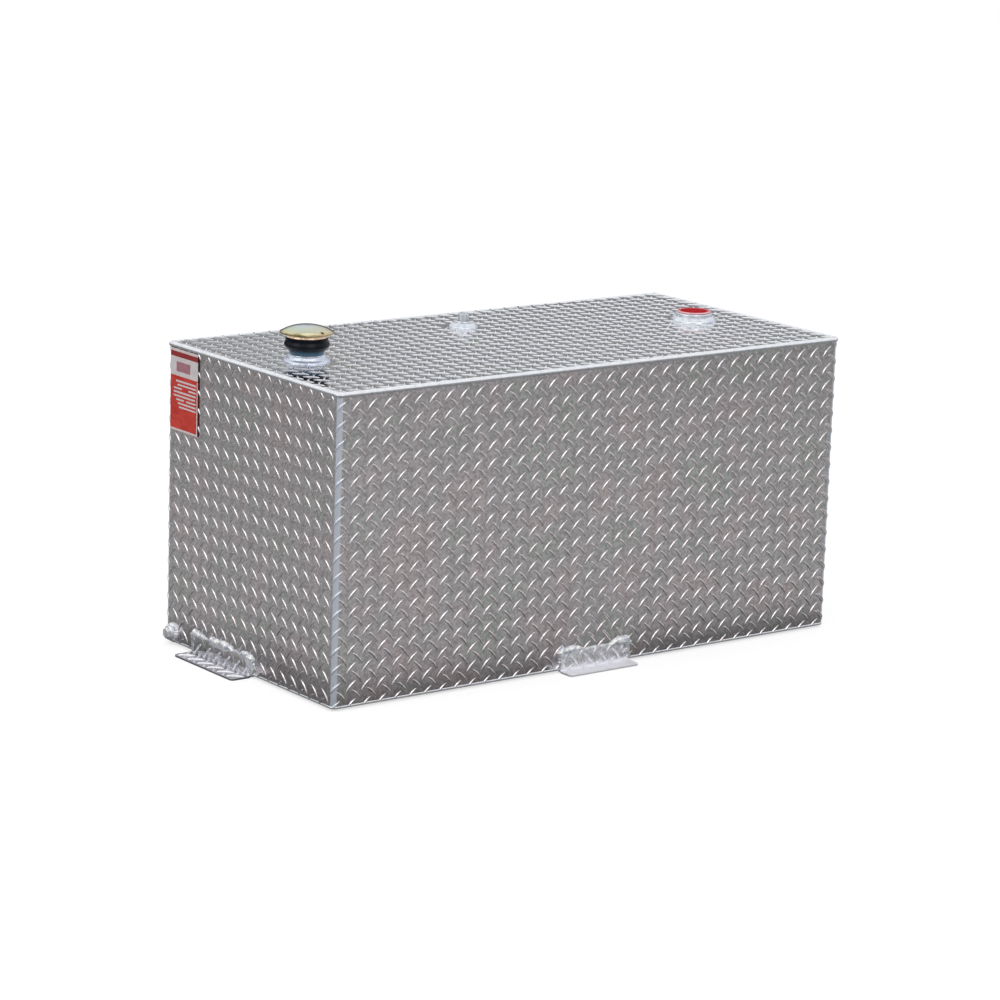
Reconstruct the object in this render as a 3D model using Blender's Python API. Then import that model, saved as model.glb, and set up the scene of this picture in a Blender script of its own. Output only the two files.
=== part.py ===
"""Truck bed transfer tank: a welded tread plate fuel tank for a pickup bed.

Metres, +Z up. The front face looks along -Y and the left end along -X.
The origin is on the plane of the feet, under the middle of the tank.
"""
import math

import bmesh
import bpy
from mathutils import Matrix, Vector

# Clearances
FIT = 0.0003            # between pieces that touch, are welded or are screwed together
CAP_SKIRT_FIT = 0.0003  # between the cap's two shells

# Tank body
LENGTH = 0.930
DEPTH = 0.446
HEIGHT = 0.457
SHEET = 0.0032          # tread plate without its lugs
BEND_RADIUS = 0.0075    # outside of a vertical corner
BEND_STEPS = 5
EDGE_STEP = 0.0020      # top and bottom plates stop this far inside the wall's face
WRAP_GAP = 0.0030       # butt gap where the ends of the wrapped sheet meet
WRAP_GAP_FROM_LEFT = 0.185  # where that gap lies along the back

# Seam beads
TOP_BEAD_TOE = 0.0027
TOP_BEAD_CROWN = 0.0014
BOTTOM_BEAD_CHAMFER = 0.0010
WRAP_BEAD_WIDTH = 0.0080
WRAP_BEAD_CROWN = 0.0014

# Baffles
BAFFLE_COUNT = 2
BAFFLE_SHEET = 0.0025
BAFFLE_FLANGE = 0.025
BAFFLE_BEND = 0.0055
BAFFLE_CORNER_CUT = 0.045
BAFFLE_HOLE_RADIUS = 0.040

# Tread lugs on the brackets
LUG_LENGTH = 0.0200
LUG_WIDTH = 0.0045
LUG_HEIGHT = 0.0013
LUG_PITCH = 0.0265
LUG_ANGLE = math.radians(46.0)
LUG_SINK = 0.0006
LUG_MARGIN = 0.0006
LUG_SHOULDER = 0.45     # share of its half length that is full width
LUG_CREST = 0.55        # share of its half length that is full height

# Hold-down brackets
BRACKET_SHEET = 0.0032
BRACKET_BEND = 0.0058
FRONT_BRACKET_LENGTH = 0.130
FRONT_BRACKET_LEG = 0.031
FRONT_BRACKET_FOOT = 0.0290
FRONT_BRACKET_X = 0.006
END_BRACKET_LENGTH = 0.158
END_BRACKET_LEG = 0.029
END_BRACKET_FOOT = 0.0360
END_BRACKET_FROM_BACK = 0.159
BRACKET_CORNER = 0.0060
BRACKET_BEAD_SIDE = 0.0090
BRACKET_BEAD_THICKNESS = 0.0044
BRACKET_BEAD_SHOULDER = 0.0024
# Height of the bead over the leg, at shares of the leg's half length along local X
FRONT_BEAD_CREST = (
    (-1.0, 0.0110), (-0.70, 0.0095), (-0.58, 0.0022), (0.50, 0.0022), (0.62, 0.0088), (1.0, 0.0105),
)
END_BEAD_CREST = (
    (-1.0, 0.0085), (-0.86, 0.0078), (-0.70, 0.0026), (-0.40, 0.0026), (-0.28, 0.0108),
    (0.42, 0.0100), (0.56, 0.0026), (0.66, 0.0026), (0.80, 0.0090), (1.0, 0.0112),
)
# Sections of a bead, as shares of its thickness and of its width
BEAD_SECTION = ((0.0, 1.0), (0.55, 0.82), (1.0, 0.45))

# Filler: weld collar, threaded neck, gasket and cap
FILLER_FROM_LEFT = 0.095
FILLER_Y = 0.0
COLLAR_RADIUS = 0.0262
COLLAR_HEIGHT = 0.0155
COLLAR_SPIGOT_RADIUS = 0.0250
COLLAR_SPIGOT_DROP = 0.0060
COLLAR_BORE_RADIUS = 0.0215
COLLAR_EDGE = 0.0010
NECK_BORE_RADIUS = 0.0190
NECK_THREAD_DEPTH = 0.0120
NECK_WAIST_RADIUS = 0.0225
NECK_FLARE_RADIUS = 0.0334
NECK_FLARE_Z = 0.0090
NECK_ROUND = 0.0012
NECK_EDGE = 0.0006
NECK_SHOULDER_RADIUS = 0.0312
NECK_SHOULDER_Z = 0.0200
NECK_SPIGOT_RADIUS = 0.0285
NECK_SPIGOT_TOP = 0.0265
GASKET_THICKNESS = 0.0018
GASKET_WIDTH = 0.0038
SHELL_SHEET = 0.0010
COVER_SHEET = 0.0010
CAP_RIM_RADIUS = 0.0395
CAP_RIM_Z = 0.0281
CAP_RIM_EDGE = 0.0009
CAP_ROOT_ROUND = 0.0012
CAP_ROOT_DROP = 0.0040
SHELL_EDGE = 0.0004
CAP_DOME_RISE = 0.0100
CAP_SKIRT_BOTTOM = 0.0206
CAP_HOLE_RADIUS = 0.0017
CAP_HOLE_FROM_AXIS = 0.0345
CAP_HOLE_AZIMUTH = math.radians(-85.0)
RIVET_RADIUS = 0.0040
RIVET_HEAD_RADIUS = 0.0070
RIVET_HEAD_THICKNESS = 0.0014
RIVET_EDGE = 0.0007

# Pump port with its thread protector
PUMP_FROM_RIGHT = 0.104
PUMP_Y = 0.0
BUNG_RADIUS = 0.0300
BUNG_HEIGHT = 0.0127
BUNG_SPIGOT_RADIUS = 0.0285
BUNG_SPIGOT_DROP = 0.0060
BUNG_BORE_RADIUS = 0.0226
BUNG_EDGE = 0.0012
PLUG_FLANGE_RADIUS = 0.0262
PLUG_FLANGE_THICKNESS = 0.0020
PLUG_WALL = 0.0017
PLUG_DEPTH = 0.0125
PLUG_TAPER = 0.0009
PLUG_EDGE = 0.0007
PLUG_ROUND = 0.0012

# Vent: boss, valve body and roll-over ball
VENT_X = 0.0
VENT_FROM_BACK = 0.104
BOSS_RADIUS = 0.0160
BOSS_HEIGHT = 0.0100
BOSS_SPIGOT_RADIUS = 0.0120
BOSS_SPIGOT_DROP = 0.0080
BOSS_BORE_RADIUS = 0.0081
BOSS_EDGE = 0.0008
VALVE_HEAD_RADIUS = 0.0087
VALVE_HEAD_HEIGHT = 0.0108
VALVE_HEAD_EDGE = 0.0009
VALVE_SHANK_DEPTH = 0.0160
VALVE_CHAMBER_RADIUS = 0.0055
VALVE_CHAMBER_TOP = 0.0050
VALVE_CHAMBER_BOTTOM = 0.0100
VALVE_OUTLET_RADIUS = 0.0015
VALVE_OUTLET_Z = 0.0078
VALVE_INLET_RADIUS = 0.0032
VALVE_SEAT_DROP = 0.0025
BALL_RADIUS = 0.0045

# Drain: half coupling and plug low on the left end
DRAIN_FROM_BACK = 0.020
DRAIN_UP = 0.0150
DRAIN_RADIUS = 0.0110
DRAIN_LENGTH = 0.0090
DRAIN_SPIGOT_RADIUS = 0.0085
DRAIN_SPIGOT_REACH = 0.0020
DRAIN_BORE_RADIUS = 0.0062
DRAIN_PLUG_DEPTH = 0.0085
DRAIN_HEAD_RADIUS = 0.0085
DRAIN_HEAD_HEIGHT = 0.0042
DRAIN_HEAD_CHAMFER = 0.0007
DRAIN_EDGE = 0.0009

# Fillet beads round the fittings
FILLER_BEAD = 0.0085
PUMP_BEAD = 0.0055
VENT_BEAD = 0.0060
DRAIN_BEAD = 0.0035

# Side label
LABEL_WIDTH = 0.075
LABEL_HEIGHT = 0.124
LABEL_THICKNESS = 0.0016  # the film lies over the lugs of the wall behind it
LABEL_FROM_BACK = 0.0085
LABEL_FROM_TOP = 0.0066
LABEL_CORNER = 0.0015
LABEL_CORNER_STEPS = 2

# Facets
BIG_ROUND = 40
SMALL_ROUND = 24
BALL_RINGS = 8
FILLET_STEPS = 3
DOME_STEPS = 7

# Worked out from the sizes above
BASE_Z = BRACKET_SHEET                      # underside of the tank: flush with the feet's tops
TOP_Z = BASE_Z + HEIGHT
WALL_LOW = BASE_Z + SHEET + FIT
WALL_HIGH = TOP_Z - SHEET - FIT
WRAP_GAP_X = -LENGTH / 2 + WRAP_GAP_FROM_LEFT
END_BRACKET_Y = DEPTH / 2 - END_BRACKET_FROM_BACK
VENT_Y = DEPTH / 2 - VENT_FROM_BACK
DRAIN_Y = DEPTH / 2 - DRAIN_FROM_BACK
FILLER_X = -LENGTH / 2 + FILLER_FROM_LEFT
PUMP_X = LENGTH / 2 - PUMP_FROM_RIGHT
COLLAR_TOP = TOP_Z + COLLAR_HEIGHT
BUNG_TOP = TOP_Z + BUNG_HEIGHT
BOSS_TOP = TOP_Z + BOSS_HEIGHT
NECK_THREAD_RADIUS = COLLAR_BORE_RADIUS - FIT
VALVE_SHANK_RADIUS = BOSS_BORE_RADIUS - FIT
DRAIN_SHANK_RADIUS = DRAIN_BORE_RADIUS - FIT
GASKET_Z = NECK_SPIGOT_TOP + FIT
SHELL_Z = GASKET_Z + GASKET_THICKNESS + FIT
SHELL_SKIRT_RADIUS = NECK_SPIGOT_RADIUS + FIT
COVER_SKIRT_RADIUS = SHELL_SKIRT_RADIUS + SHELL_SHEET + CAP_SKIRT_FIT


def clear_scene():
    for old in list(bpy.data.objects):
        bpy.data.objects.remove(old, do_unlink=True)


def material(name, colour, roughness, metallic):
    made = bpy.data.materials.new(name)
    made.use_nodes = True
    shader = made.node_tree.nodes["Principled BSDF"]
    shader.inputs["Base Color"].default_value = (*colour, 1.0)
    shader.inputs["Roughness"].default_value = roughness
    shader.inputs["Metallic"].default_value = metallic
    made.diffuse_color = (*colour, 1.0)
    return made


def add_object(name, shape, finish=None, place=None, parent=None, smooth=None):
    """One object from a bmesh, its faces turned outwards."""
    bmesh.ops.remove_doubles(shape, verts=shape.verts, dist=1e-7)
    bmesh.ops.recalc_face_normals(shape, faces=shape.faces)
    mesh = bpy.data.meshes.new(name)
    shape.to_mesh(mesh)
    shape.free()
    if smooth is not None:
        mesh.shade_smooth()
        mesh.set_sharp_from_angle(angle=math.radians(smooth))
    made = bpy.data.objects.new(name, mesh)
    bpy.context.scene.collection.objects.link(made)
    if finish is not None:
        mesh.materials.append(finish)
    if place is not None:
        made.matrix_world = place
    if parent is not None:
        made.parent = parent
    return made


def guide(made):
    """A cutter or a piece to be joined, which isn't part of the model itself."""
    made.hide_render = True
    made.display_type = "WIRE"
    return made


def boolean(made, other, operation):
    cut = made.modifiers.new(operation.title(), "BOOLEAN")
    cut.operation = operation
    cut.solver = "EXACT"
    cut.object = other


def skin(shape, rings, closed):
    """Faces between rings of as many points; open ends are capped."""
    made = [[shape.verts.new(point) for point in ring] for ring in rings]
    count = len(made[0])
    pairs = list(zip(made, made[1:]))
    if closed:
        pairs.append((made[-1], made[0]))
    for low, high in pairs:
        for i in range(count):
            j = (i + 1) % count
            shape.faces.new((low[i], low[j], high[j], high[i]))
    if not closed:
        shape.faces.new(list(reversed(made[0])))
        shape.faces.new(made[-1])


def prism(outline, low, high):
    """An outline in XY, extruded along Z."""
    shape = bmesh.new()
    skin(shape, [[(x, y, z) for x, y in outline] for z in (low, high)], closed=False)
    return shape


def turned(profile, steps):
    """A profile of (radius, z) turned round Z; one that starts and ends at the axis is solid."""
    solid = profile[0][0] == 0 and profile[-1][0] == 0
    shape = bmesh.new()
    rings = []
    for k in range(steps):
        angle = 2 * math.pi * k / steps
        ring = [(r * math.cos(angle), r * math.sin(angle), z) for r, z in profile]
        rings.append([shape.verts.new(point) for point in ring])
    spans = len(profile) - 1 if solid else len(profile)
    for k in range(steps):
        here = rings[k]
        there = rings[(k + 1) % steps]
        for i in range(spans):
            j = (i + 1) % len(profile)
            shape.faces.new((here[i], here[j], there[j], there[i]))
    return shape


def plate(outline, holes, low, high):
    """A flat sheet with holes through it."""
    shape = bmesh.new()
    edges = []
    for loop in [outline, *holes]:
        corners = [shape.verts.new((x, y, low)) for x, y in loop]
        edges += [shape.edges.new((a, b)) for a, b in zip(corners, corners[1:] + corners[:1])]
    bmesh.ops.triangle_fill(shape, edges=edges, use_beauty=True, use_dissolve=False)
    grown = bmesh.ops.extrude_face_region(shape, geom=list(shape.faces))
    moved = [item for item in grown["geom"] if isinstance(item, bmesh.types.BMVert)]
    bmesh.ops.translate(shape, verts=moved, vec=(0, 0, high - low))
    return shape


def arc(centre_x, centre_y, radius, start, end, steps):
    angles = [math.radians(start + (end - start) * k / steps) for k in range(steps + 1)]
    return [(centre_x + radius * math.cos(a), centre_y + radius * math.sin(a)) for a in angles]


def circle(x, y, radius, steps):
    return arc(x, y, radius, 0, 360 * (steps - 1) / steps, steps - 1)


def rounded_rectangle(length, depth, radius, steps):
    """Anticlockwise, starting at the back left corner."""
    corners = ((-1, 1), (-1, -1), (1, -1), (1, 1))
    outline = []
    for turn, (side_x, side_y) in enumerate(corners, start=1):
        centre_x = side_x * (length / 2 - radius)
        centre_y = side_y * (depth / 2 - radius)
        outline += arc(centre_x, centre_y, radius, 90 * turn, 90 * turn + 90, steps)
    return outline


def tank_outline(outward):
    """The tank's plan, this far outside its walls' outer faces."""
    grown = 2 * outward
    return rounded_rectangle(LENGTH + grown, DEPTH + grown, BEND_RADIUS + outward, BEND_STEPS)


def fitting_place(x, y, z):
    return Matrix.Translation((x, y, z))


def fillet_bead(name, radius, size, finish, place):
    """A convex weld fillet round a fitting, on the face at z = 0."""
    inner = radius + FIT
    bulge = arc(inner, FIT, size, 0, 90, FILLET_STEPS)
    profile = [(inner, FIT), *bulge]
    steps = BIG_ROUND if radius > BOSS_RADIUS else SMALL_ROUND
    return add_object(name, turned(profile, steps), finish, place, smooth=40)


def wrap_sheet(finish):
    """One sheet bent round four corners, with a butt gap along the back."""
    ends = [WRAP_GAP_X - WRAP_GAP / 2, WRAP_GAP_X + WRAP_GAP / 2]

    def side(inward):
        y = DEPTH / 2 - inward
        return [(ends[0], y), *tank_outline(-inward), (ends[1], y)]

    outline = side(0.0) + list(reversed(side(SHEET)))
    made = add_object("wrap_sheet", prism(outline, WALL_LOW, WALL_HIGH), finish, smooth=30)
    hole = prism(circle(0, 0, DRAIN_SPIGOT_RADIUS + FIT, SMALL_ROUND), -2 * SHEET, 2 * SHEET)
    cutter = guide(add_object("wrap_drain_hole", hole, place=drain_place()))
    boolean(made, cutter, "DIFFERENCE")
    return made


def wrap_seam_weld(finish):
    stem = WRAP_GAP / 2 - FIT
    half = WRAP_BEAD_WIDTH / 2
    face = DEPTH / 2
    crown = [
        (half * math.cos(a), face + FIT + WRAP_BEAD_CROWN * math.sin(a))
        for a in (math.radians(30 * k) for k in range(7))
    ]
    right = [(stem, face - SHEET), (stem, face + FIT)]
    left = [(-stem, face + FIT), (-stem, face - SHEET)]
    outline = [(x + WRAP_GAP_X, y) for x, y in [*right, *crown, *left]]
    shape = prism(outline, WALL_LOW + FIT, WALL_HIGH - TOP_BEAD_TOE - 2 * FIT)
    return add_object("wrap_seam_weld", shape, finish, smooth=40)


def top_plate(finish):
    holes = [
        circle(FILLER_X, FILLER_Y, COLLAR_SPIGOT_RADIUS + FIT, BIG_ROUND),
        circle(PUMP_X, PUMP_Y, BUNG_SPIGOT_RADIUS + FIT, BIG_ROUND),
        circle(VENT_X, VENT_Y, BOSS_SPIGOT_RADIUS + FIT, SMALL_ROUND),
    ]
    shape = plate(tank_outline(-EDGE_STEP), holes, TOP_Z - SHEET, TOP_Z)
    return add_object("top_plate", shape, finish)


def bottom_plate(finish):
    shape = prism(tank_outline(-EDGE_STEP), BASE_Z, BASE_Z + SHEET)
    return add_object("bottom_plate", shape, finish)


def seam_ring(name, section, finish):
    """A bead right round the tank, from points of (outward, z)."""
    shape = bmesh.new()
    rings = [[(x, y, z) for x, y in tank_outline(outward)] for outward, z in section]
    skin(shape, rings, closed=True)
    return add_object(name, shape, finish, smooth=40)


def top_seam_weld(finish):
    """Fills the notch between wall and top plate, and laps onto both faces."""
    notch = -EDGE_STEP + FIT
    low = (FIT, WALL_HIGH - TOP_BEAD_TOE)
    high = (-EDGE_STEP - TOP_BEAD_TOE, TOP_Z + FIT)
    middle = Vector((notch, WALL_HIGH))
    reach = (Vector((FIT, WALL_HIGH + SHEET)) - middle).length + TOP_BEAD_CROWN - FIT
    bulge = []
    for angle in (12, 38, 64):
        way = Vector((math.cos(math.radians(angle)), math.sin(math.radians(angle))))
        point = middle + way * reach
        bulge.append((point.x, point.y))
    root = [(notch, TOP_Z + FIT), (notch, WALL_HIGH + FIT), (FIT, WALL_HIGH + FIT)]
    return seam_ring("top_seam_weld", [*root, low, *bulge, high], finish)


def bottom_seam_weld(finish):
    """Flush in the notch under the wall, so that the tank can lie flat."""
    notch = -EDGE_STEP + FIT
    low = BASE_Z + FIT
    section = [
        (notch, low),
        (-BOTTOM_BEAD_CHAMFER, low),
        (-FIT, low + BOTTOM_BEAD_CHAMFER),
        (-FIT, BASE_Z + SHEET),
        (notch, BASE_Z + SHEET),
    ]
    return seam_ring("bottom_seam_weld", section, finish)


def baffle(name, x, side, finish):
    """A cross wall with flanges for welding, cut corners and a middle hole; side turns its flanges."""
    width = DEPTH - 2 * SHEET - 2 * FIT
    low = BASE_Z + SHEET + FIT
    high = TOP_Z - SHEET - FIT
    half = width / 2
    inner = BAFFLE_BEND - BAFFLE_SHEET
    centre = (BAFFLE_BEND, half - BAFFLE_BEND)
    outline = [(BAFFLE_FLANGE, half)]
    outline += arc(*centre, BAFFLE_BEND, 90, 180, 3)
    outline += arc(centre[0], -centre[1], BAFFLE_BEND, 180, 270, 3)
    outline += [(BAFFLE_FLANGE, -half), (BAFFLE_FLANGE, -half + BAFFLE_SHEET)]
    outline += arc(centre[0], -centre[1], inner, 270, 180, 3)
    outline += arc(*centre, inner, 180, 90, 3)
    outline += [(BAFFLE_FLANGE, half - BAFFLE_SHEET)]
    shape = prism([(side * u, v) for u, v in outline], low, high)
    place = Matrix.Translation((x, 0, 0))
    made = add_object(name, shape, finish, place)
    boolean(made, baffle_cutter(name + "_cuts", place, half, low, high), "DIFFERENCE")
    return made


def baffle_cutter(name, place, half, low, high):
    """The four corner cuts and the middle hole, as prisms along X."""
    reach = 2 * BAFFLE_FLANGE
    beyond = BAFFLE_CORNER_CUT
    shape = bmesh.new()
    outlines = [circle(0, (low + high) / 2, BAFFLE_HOLE_RADIUS, BIG_ROUND)]
    for side in (-1, 1):
        for level, way in ((low, 1), (high, -1)):
            y = side * half
            outlines.append([
                (y - side * BAFFLE_CORNER_CUT, level),
                (y, level + way * BAFFLE_CORNER_CUT),
                (y + side * beyond, level + way * BAFFLE_CORNER_CUT),
                (y + side * beyond, level - way * beyond),
                (y - side * BAFFLE_CORNER_CUT, level - way * beyond),
            ])
    for outline in outlines:
        skin(shape, [[(x, y, z) for y, z in outline] for x in (-reach, reach)], closed=False)
    return guide(add_object(name, shape, place=place))


def filler_collar(finish):
    top = COLLAR_HEIGHT
    profile = [
        (COLLAR_BORE_RADIUS, -COLLAR_SPIGOT_DROP),
        (COLLAR_SPIGOT_RADIUS, -COLLAR_SPIGOT_DROP),
        (COLLAR_SPIGOT_RADIUS, FIT),
        (COLLAR_RADIUS, FIT),
        (COLLAR_RADIUS, top - COLLAR_EDGE),
        (COLLAR_RADIUS - COLLAR_EDGE, top),
        (COLLAR_BORE_RADIUS, top),
    ]
    place = fitting_place(FILLER_X, FILLER_Y, TOP_Z)
    fillet_bead("filler_collar_weld", COLLAR_RADIUS, FILLER_BEAD, finish, place)
    return add_object("filler_collar", turned(profile, BIG_ROUND), finish, place, smooth=40)


def filler_neck(finish):
    """The black neck: screwed into the collar, flared round its middle, threaded for the cap."""
    edge = NECK_EDGE
    flare = NECK_FLARE_RADIUS
    shoulder = NECK_SHOULDER_RADIUS
    profile = [
        (NECK_BORE_RADIUS, -NECK_THREAD_DEPTH),
        (NECK_THREAD_RADIUS, -NECK_THREAD_DEPTH),
        (NECK_THREAD_RADIUS, FIT),
        (NECK_WAIST_RADIUS, FIT),
        (NECK_WAIST_RADIUS + NECK_ROUND, NECK_FLARE_Z / 3),
        (flare - edge, NECK_FLARE_Z - NECK_ROUND),
        (flare, NECK_FLARE_Z),
        (flare - edge / 2, NECK_FLARE_Z + 1.5 * NECK_ROUND),
        (shoulder + edge, NECK_SHOULDER_Z - NECK_ROUND),
        (shoulder, NECK_SHOULDER_Z),
        (NECK_SPIGOT_RADIUS, NECK_SHOULDER_Z),
        (NECK_SPIGOT_RADIUS, NECK_SPIGOT_TOP - edge),
        (NECK_SPIGOT_RADIUS - edge, NECK_SPIGOT_TOP),
        (NECK_BORE_RADIUS + edge, NECK_SPIGOT_TOP),
        (NECK_BORE_RADIUS, NECK_SPIGOT_TOP - edge),
    ]
    place = fitting_place(FILLER_X, FILLER_Y, COLLAR_TOP)
    return add_object("filler_neck", turned(profile, BIG_ROUND), finish, place, smooth=35)


def cap_gasket(finish, carrier):
    outer = NECK_SPIGOT_RADIUS
    inner = outer - GASKET_WIDTH
    top = GASKET_Z + GASKET_THICKNESS
    profile = [(inner, GASKET_Z), (outer, GASKET_Z), (outer, top), (inner, top)]
    return add_object("cap_gasket", turned(profile, BIG_ROUND), finish, parent=carrier, smooth=40)


def cap_inner_shell(finish, carrier):
    """The pressed cup that screws down over the neck's spigot and holds the gasket."""
    inner = SHELL_SKIRT_RADIUS
    outer = inner + SHELL_SHEET
    top = SHELL_Z + SHELL_SHEET
    low = NECK_SHOULDER_Z + 3 * FIT
    hole = RIVET_RADIUS + FIT
    profile = [
        (hole, SHELL_Z), (inner, SHELL_Z), (inner, low), (outer, low),
        (outer, top - SHELL_EDGE), (outer - SHELL_EDGE, top), (hole, top),
    ]
    return add_object("cap_inner_shell", turned(profile, BIG_ROUND), finish, parent=carrier, smooth=40)


def dome_height(radius, drop=0.0):
    """The cover's dome over its rim, or the face this far under it."""
    ball = (CAP_RIM_RADIUS ** 2 + CAP_DOME_RISE ** 2) / (2 * CAP_DOME_RISE)
    centre = CAP_RIM_Z + CAP_DOME_RISE - ball
    return centre + math.sqrt((ball - drop) ** 2 - radius ** 2)


def cap_cover(finish, carrier):
    """The domed cover: its rim is rolled under and runs back into a short skirt."""
    inner = COVER_SKIRT_RADIUS
    outer = inner + COVER_SHEET
    rim = CAP_RIM_RADIUS
    dome = [rim * math.sin(math.radians(90 * k / DOME_STEPS)) for k in range(DOME_STEPS)]
    profile = [(r, dome_height(r)) for r in dome]
    profile += [
        (rim, CAP_RIM_Z),
        (rim + CAP_RIM_EDGE / 2, CAP_RIM_Z - CAP_RIM_EDGE),
        (rim - CAP_RIM_EDGE, CAP_RIM_Z - 2 * CAP_RIM_EDGE),
        (outer + CAP_ROOT_ROUND, CAP_RIM_Z - 3 * CAP_RIM_EDGE),
        (outer, CAP_RIM_Z - CAP_ROOT_DROP),
        (outer, CAP_SKIRT_BOTTOM),
        (inner, CAP_SKIRT_BOTTOM),
    ]
    under = [inner * k / 4 for k in range(4, -1, -1)]
    profile += [(r, dome_height(r, COVER_SHEET)) for r in under]
    made = add_object("cap_cover", turned(profile, BIG_ROUND), finish, parent=carrier, smooth=35)
    x = CAP_HOLE_FROM_AXIS * math.cos(CAP_HOLE_AZIMUTH)
    y = CAP_HOLE_FROM_AXIS * math.sin(CAP_HOLE_AZIMUTH)
    drill = prism(circle(x, y, CAP_HOLE_RADIUS, 12), CAP_SKIRT_BOTTOM, CAP_RIM_Z + 2 * CAP_DOME_RISE)
    boolean(made, guide(add_object("cap_tether_hole", drill, parent=carrier)), "DIFFERENCE")
    return made


def cap_rivet(finish, carrier):
    """Holds the inner shell up against the cover."""
    head = SHELL_Z - FIT
    shank_top = dome_height(RIVET_RADIUS, COVER_SHEET) - FIT
    profile = [
        (0, head - RIVET_HEAD_THICKNESS),
        (RIVET_HEAD_RADIUS - RIVET_EDGE, head - RIVET_HEAD_THICKNESS),
        (RIVET_HEAD_RADIUS, head - RIVET_HEAD_THICKNESS + RIVET_EDGE),
        (RIVET_HEAD_RADIUS, head),
        (RIVET_RADIUS, head),
        (RIVET_RADIUS, shank_top),
        (0, shank_top),
    ]
    return add_object("cap_rivet", turned(profile, SMALL_ROUND), finish, parent=carrier, smooth=40)


def pump_bung(finish):
    top = BUNG_HEIGHT
    profile = [
        (BUNG_BORE_RADIUS, -BUNG_SPIGOT_DROP),
        (BUNG_SPIGOT_RADIUS, -BUNG_SPIGOT_DROP),
        (BUNG_SPIGOT_RADIUS, FIT),
        (BUNG_RADIUS, FIT),
        (BUNG_RADIUS, top - BUNG_EDGE),
        (BUNG_RADIUS - BUNG_EDGE, top),
        (BUNG_BORE_RADIUS, top),
    ]
    place = fitting_place(PUMP_X, PUMP_Y, TOP_Z)
    fillet_bead("pump_bung_weld", BUNG_RADIUS, PUMP_BEAD, finish, place)
    return add_object("pump_bung", turned(profile, BIG_ROUND), finish, place, smooth=40)


def pump_port_plug(finish):
    """A moulded cup with a flange, pushed into the port to keep its thread clean."""
    top = FIT + PLUG_FLANGE_THICKNESS
    outer = BUNG_BORE_RADIUS - FIT
    tip = outer - PLUG_TAPER
    flange = PLUG_FLANGE_RADIUS
    mouth = outer - PLUG_WALL
    floor = -PLUG_DEPTH + PLUG_WALL
    profile = [
        (0, -PLUG_DEPTH),
        (tip - PLUG_ROUND, -PLUG_DEPTH),
        (tip, -PLUG_DEPTH + PLUG_ROUND),
        (outer, FIT),
        (flange, FIT),
        (flange, top - PLUG_EDGE),
        (flange - PLUG_EDGE, top),
        (mouth + PLUG_EDGE, top),
        (mouth, top - PLUG_EDGE),
        (tip - PLUG_WALL, floor + PLUG_ROUND),
        (tip - PLUG_WALL - PLUG_ROUND, floor),
        (0, floor),
    ]
    place = fitting_place(PUMP_X, PUMP_Y, BUNG_TOP)
    return add_object("pump_port_plug", turned(profile, BIG_ROUND), finish, place, smooth=35)


def vent_boss(finish):
    top = BOSS_HEIGHT
    profile = [
        (BOSS_BORE_RADIUS, -BOSS_SPIGOT_DROP),
        (BOSS_SPIGOT_RADIUS, -BOSS_SPIGOT_DROP),
        (BOSS_SPIGOT_RADIUS, FIT),
        (BOSS_RADIUS, FIT),
        (BOSS_RADIUS, top - BOSS_EDGE),
        (BOSS_RADIUS - BOSS_EDGE, top),
        (BOSS_BORE_RADIUS, top),
    ]
    place = fitting_place(VENT_X, VENT_Y, TOP_Z)
    fillet_bead("vent_boss_weld", BOSS_RADIUS, VENT_BEAD, finish, place)
    return add_object("vent_boss", turned(profile, SMALL_ROUND), finish, place, smooth=40)


def vent_valve_body(finish):
    """A plug with a ball chamber: the ball shuts the outlet when the tank rolls over."""
    head = VALVE_HEAD_HEIGHT
    edge = VALVE_HEAD_EDGE
    seat = -VALVE_CHAMBER_BOTTOM - VALVE_SEAT_DROP
    profile = [
        (VALVE_INLET_RADIUS, -VALVE_SHANK_DEPTH),
        (VALVE_SHANK_RADIUS, -VALVE_SHANK_DEPTH),
        (VALVE_SHANK_RADIUS, FIT),
        (VALVE_HEAD_RADIUS, FIT),
        (VALVE_HEAD_RADIUS, head - edge),
        (VALVE_HEAD_RADIUS - edge, head),
        (VALVE_OUTLET_RADIUS, head),
        (VALVE_OUTLET_RADIUS, VALVE_OUTLET_Z),
        (VALVE_CHAMBER_RADIUS, VALVE_CHAMBER_TOP),
        (VALVE_CHAMBER_RADIUS, -VALVE_CHAMBER_BOTTOM),
        (VALVE_INLET_RADIUS, seat),
    ]
    place = fitting_place(VENT_X, VENT_Y, BOSS_TOP)
    return add_object("vent_valve_body", turned(profile, SMALL_ROUND), finish, place, smooth=40)


def ball_rest_height():
    """The ball's centre over the boss's top, where it lies on the lower seat."""
    rise = VALVE_SEAT_DROP
    run = VALVE_CHAMBER_RADIUS - VALVE_INLET_RADIUS
    slope = math.hypot(run, rise)
    reach = (BALL_RADIUS + FIT) * slope - VALVE_INLET_RADIUS * rise
    return -VALVE_CHAMBER_BOTTOM - VALVE_SEAT_DROP + reach / run


def vent_ball(finish):
    shape = bmesh.new()
    bmesh.ops.create_uvsphere(shape, u_segments=16, v_segments=BALL_RINGS, radius=BALL_RADIUS)
    place = fitting_place(VENT_X, VENT_Y, BOSS_TOP + ball_rest_height())
    return add_object("vent_ball", shape, finish, place, smooth=60)


def drain_place():
    """On the left end's outer face, with local +Z pointing out of the tank."""
    place = Matrix.Translation((-LENGTH / 2, DRAIN_Y, BASE_Z + DRAIN_UP))
    return place @ Matrix.Rotation(math.radians(-90), 4, "Y")


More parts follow.
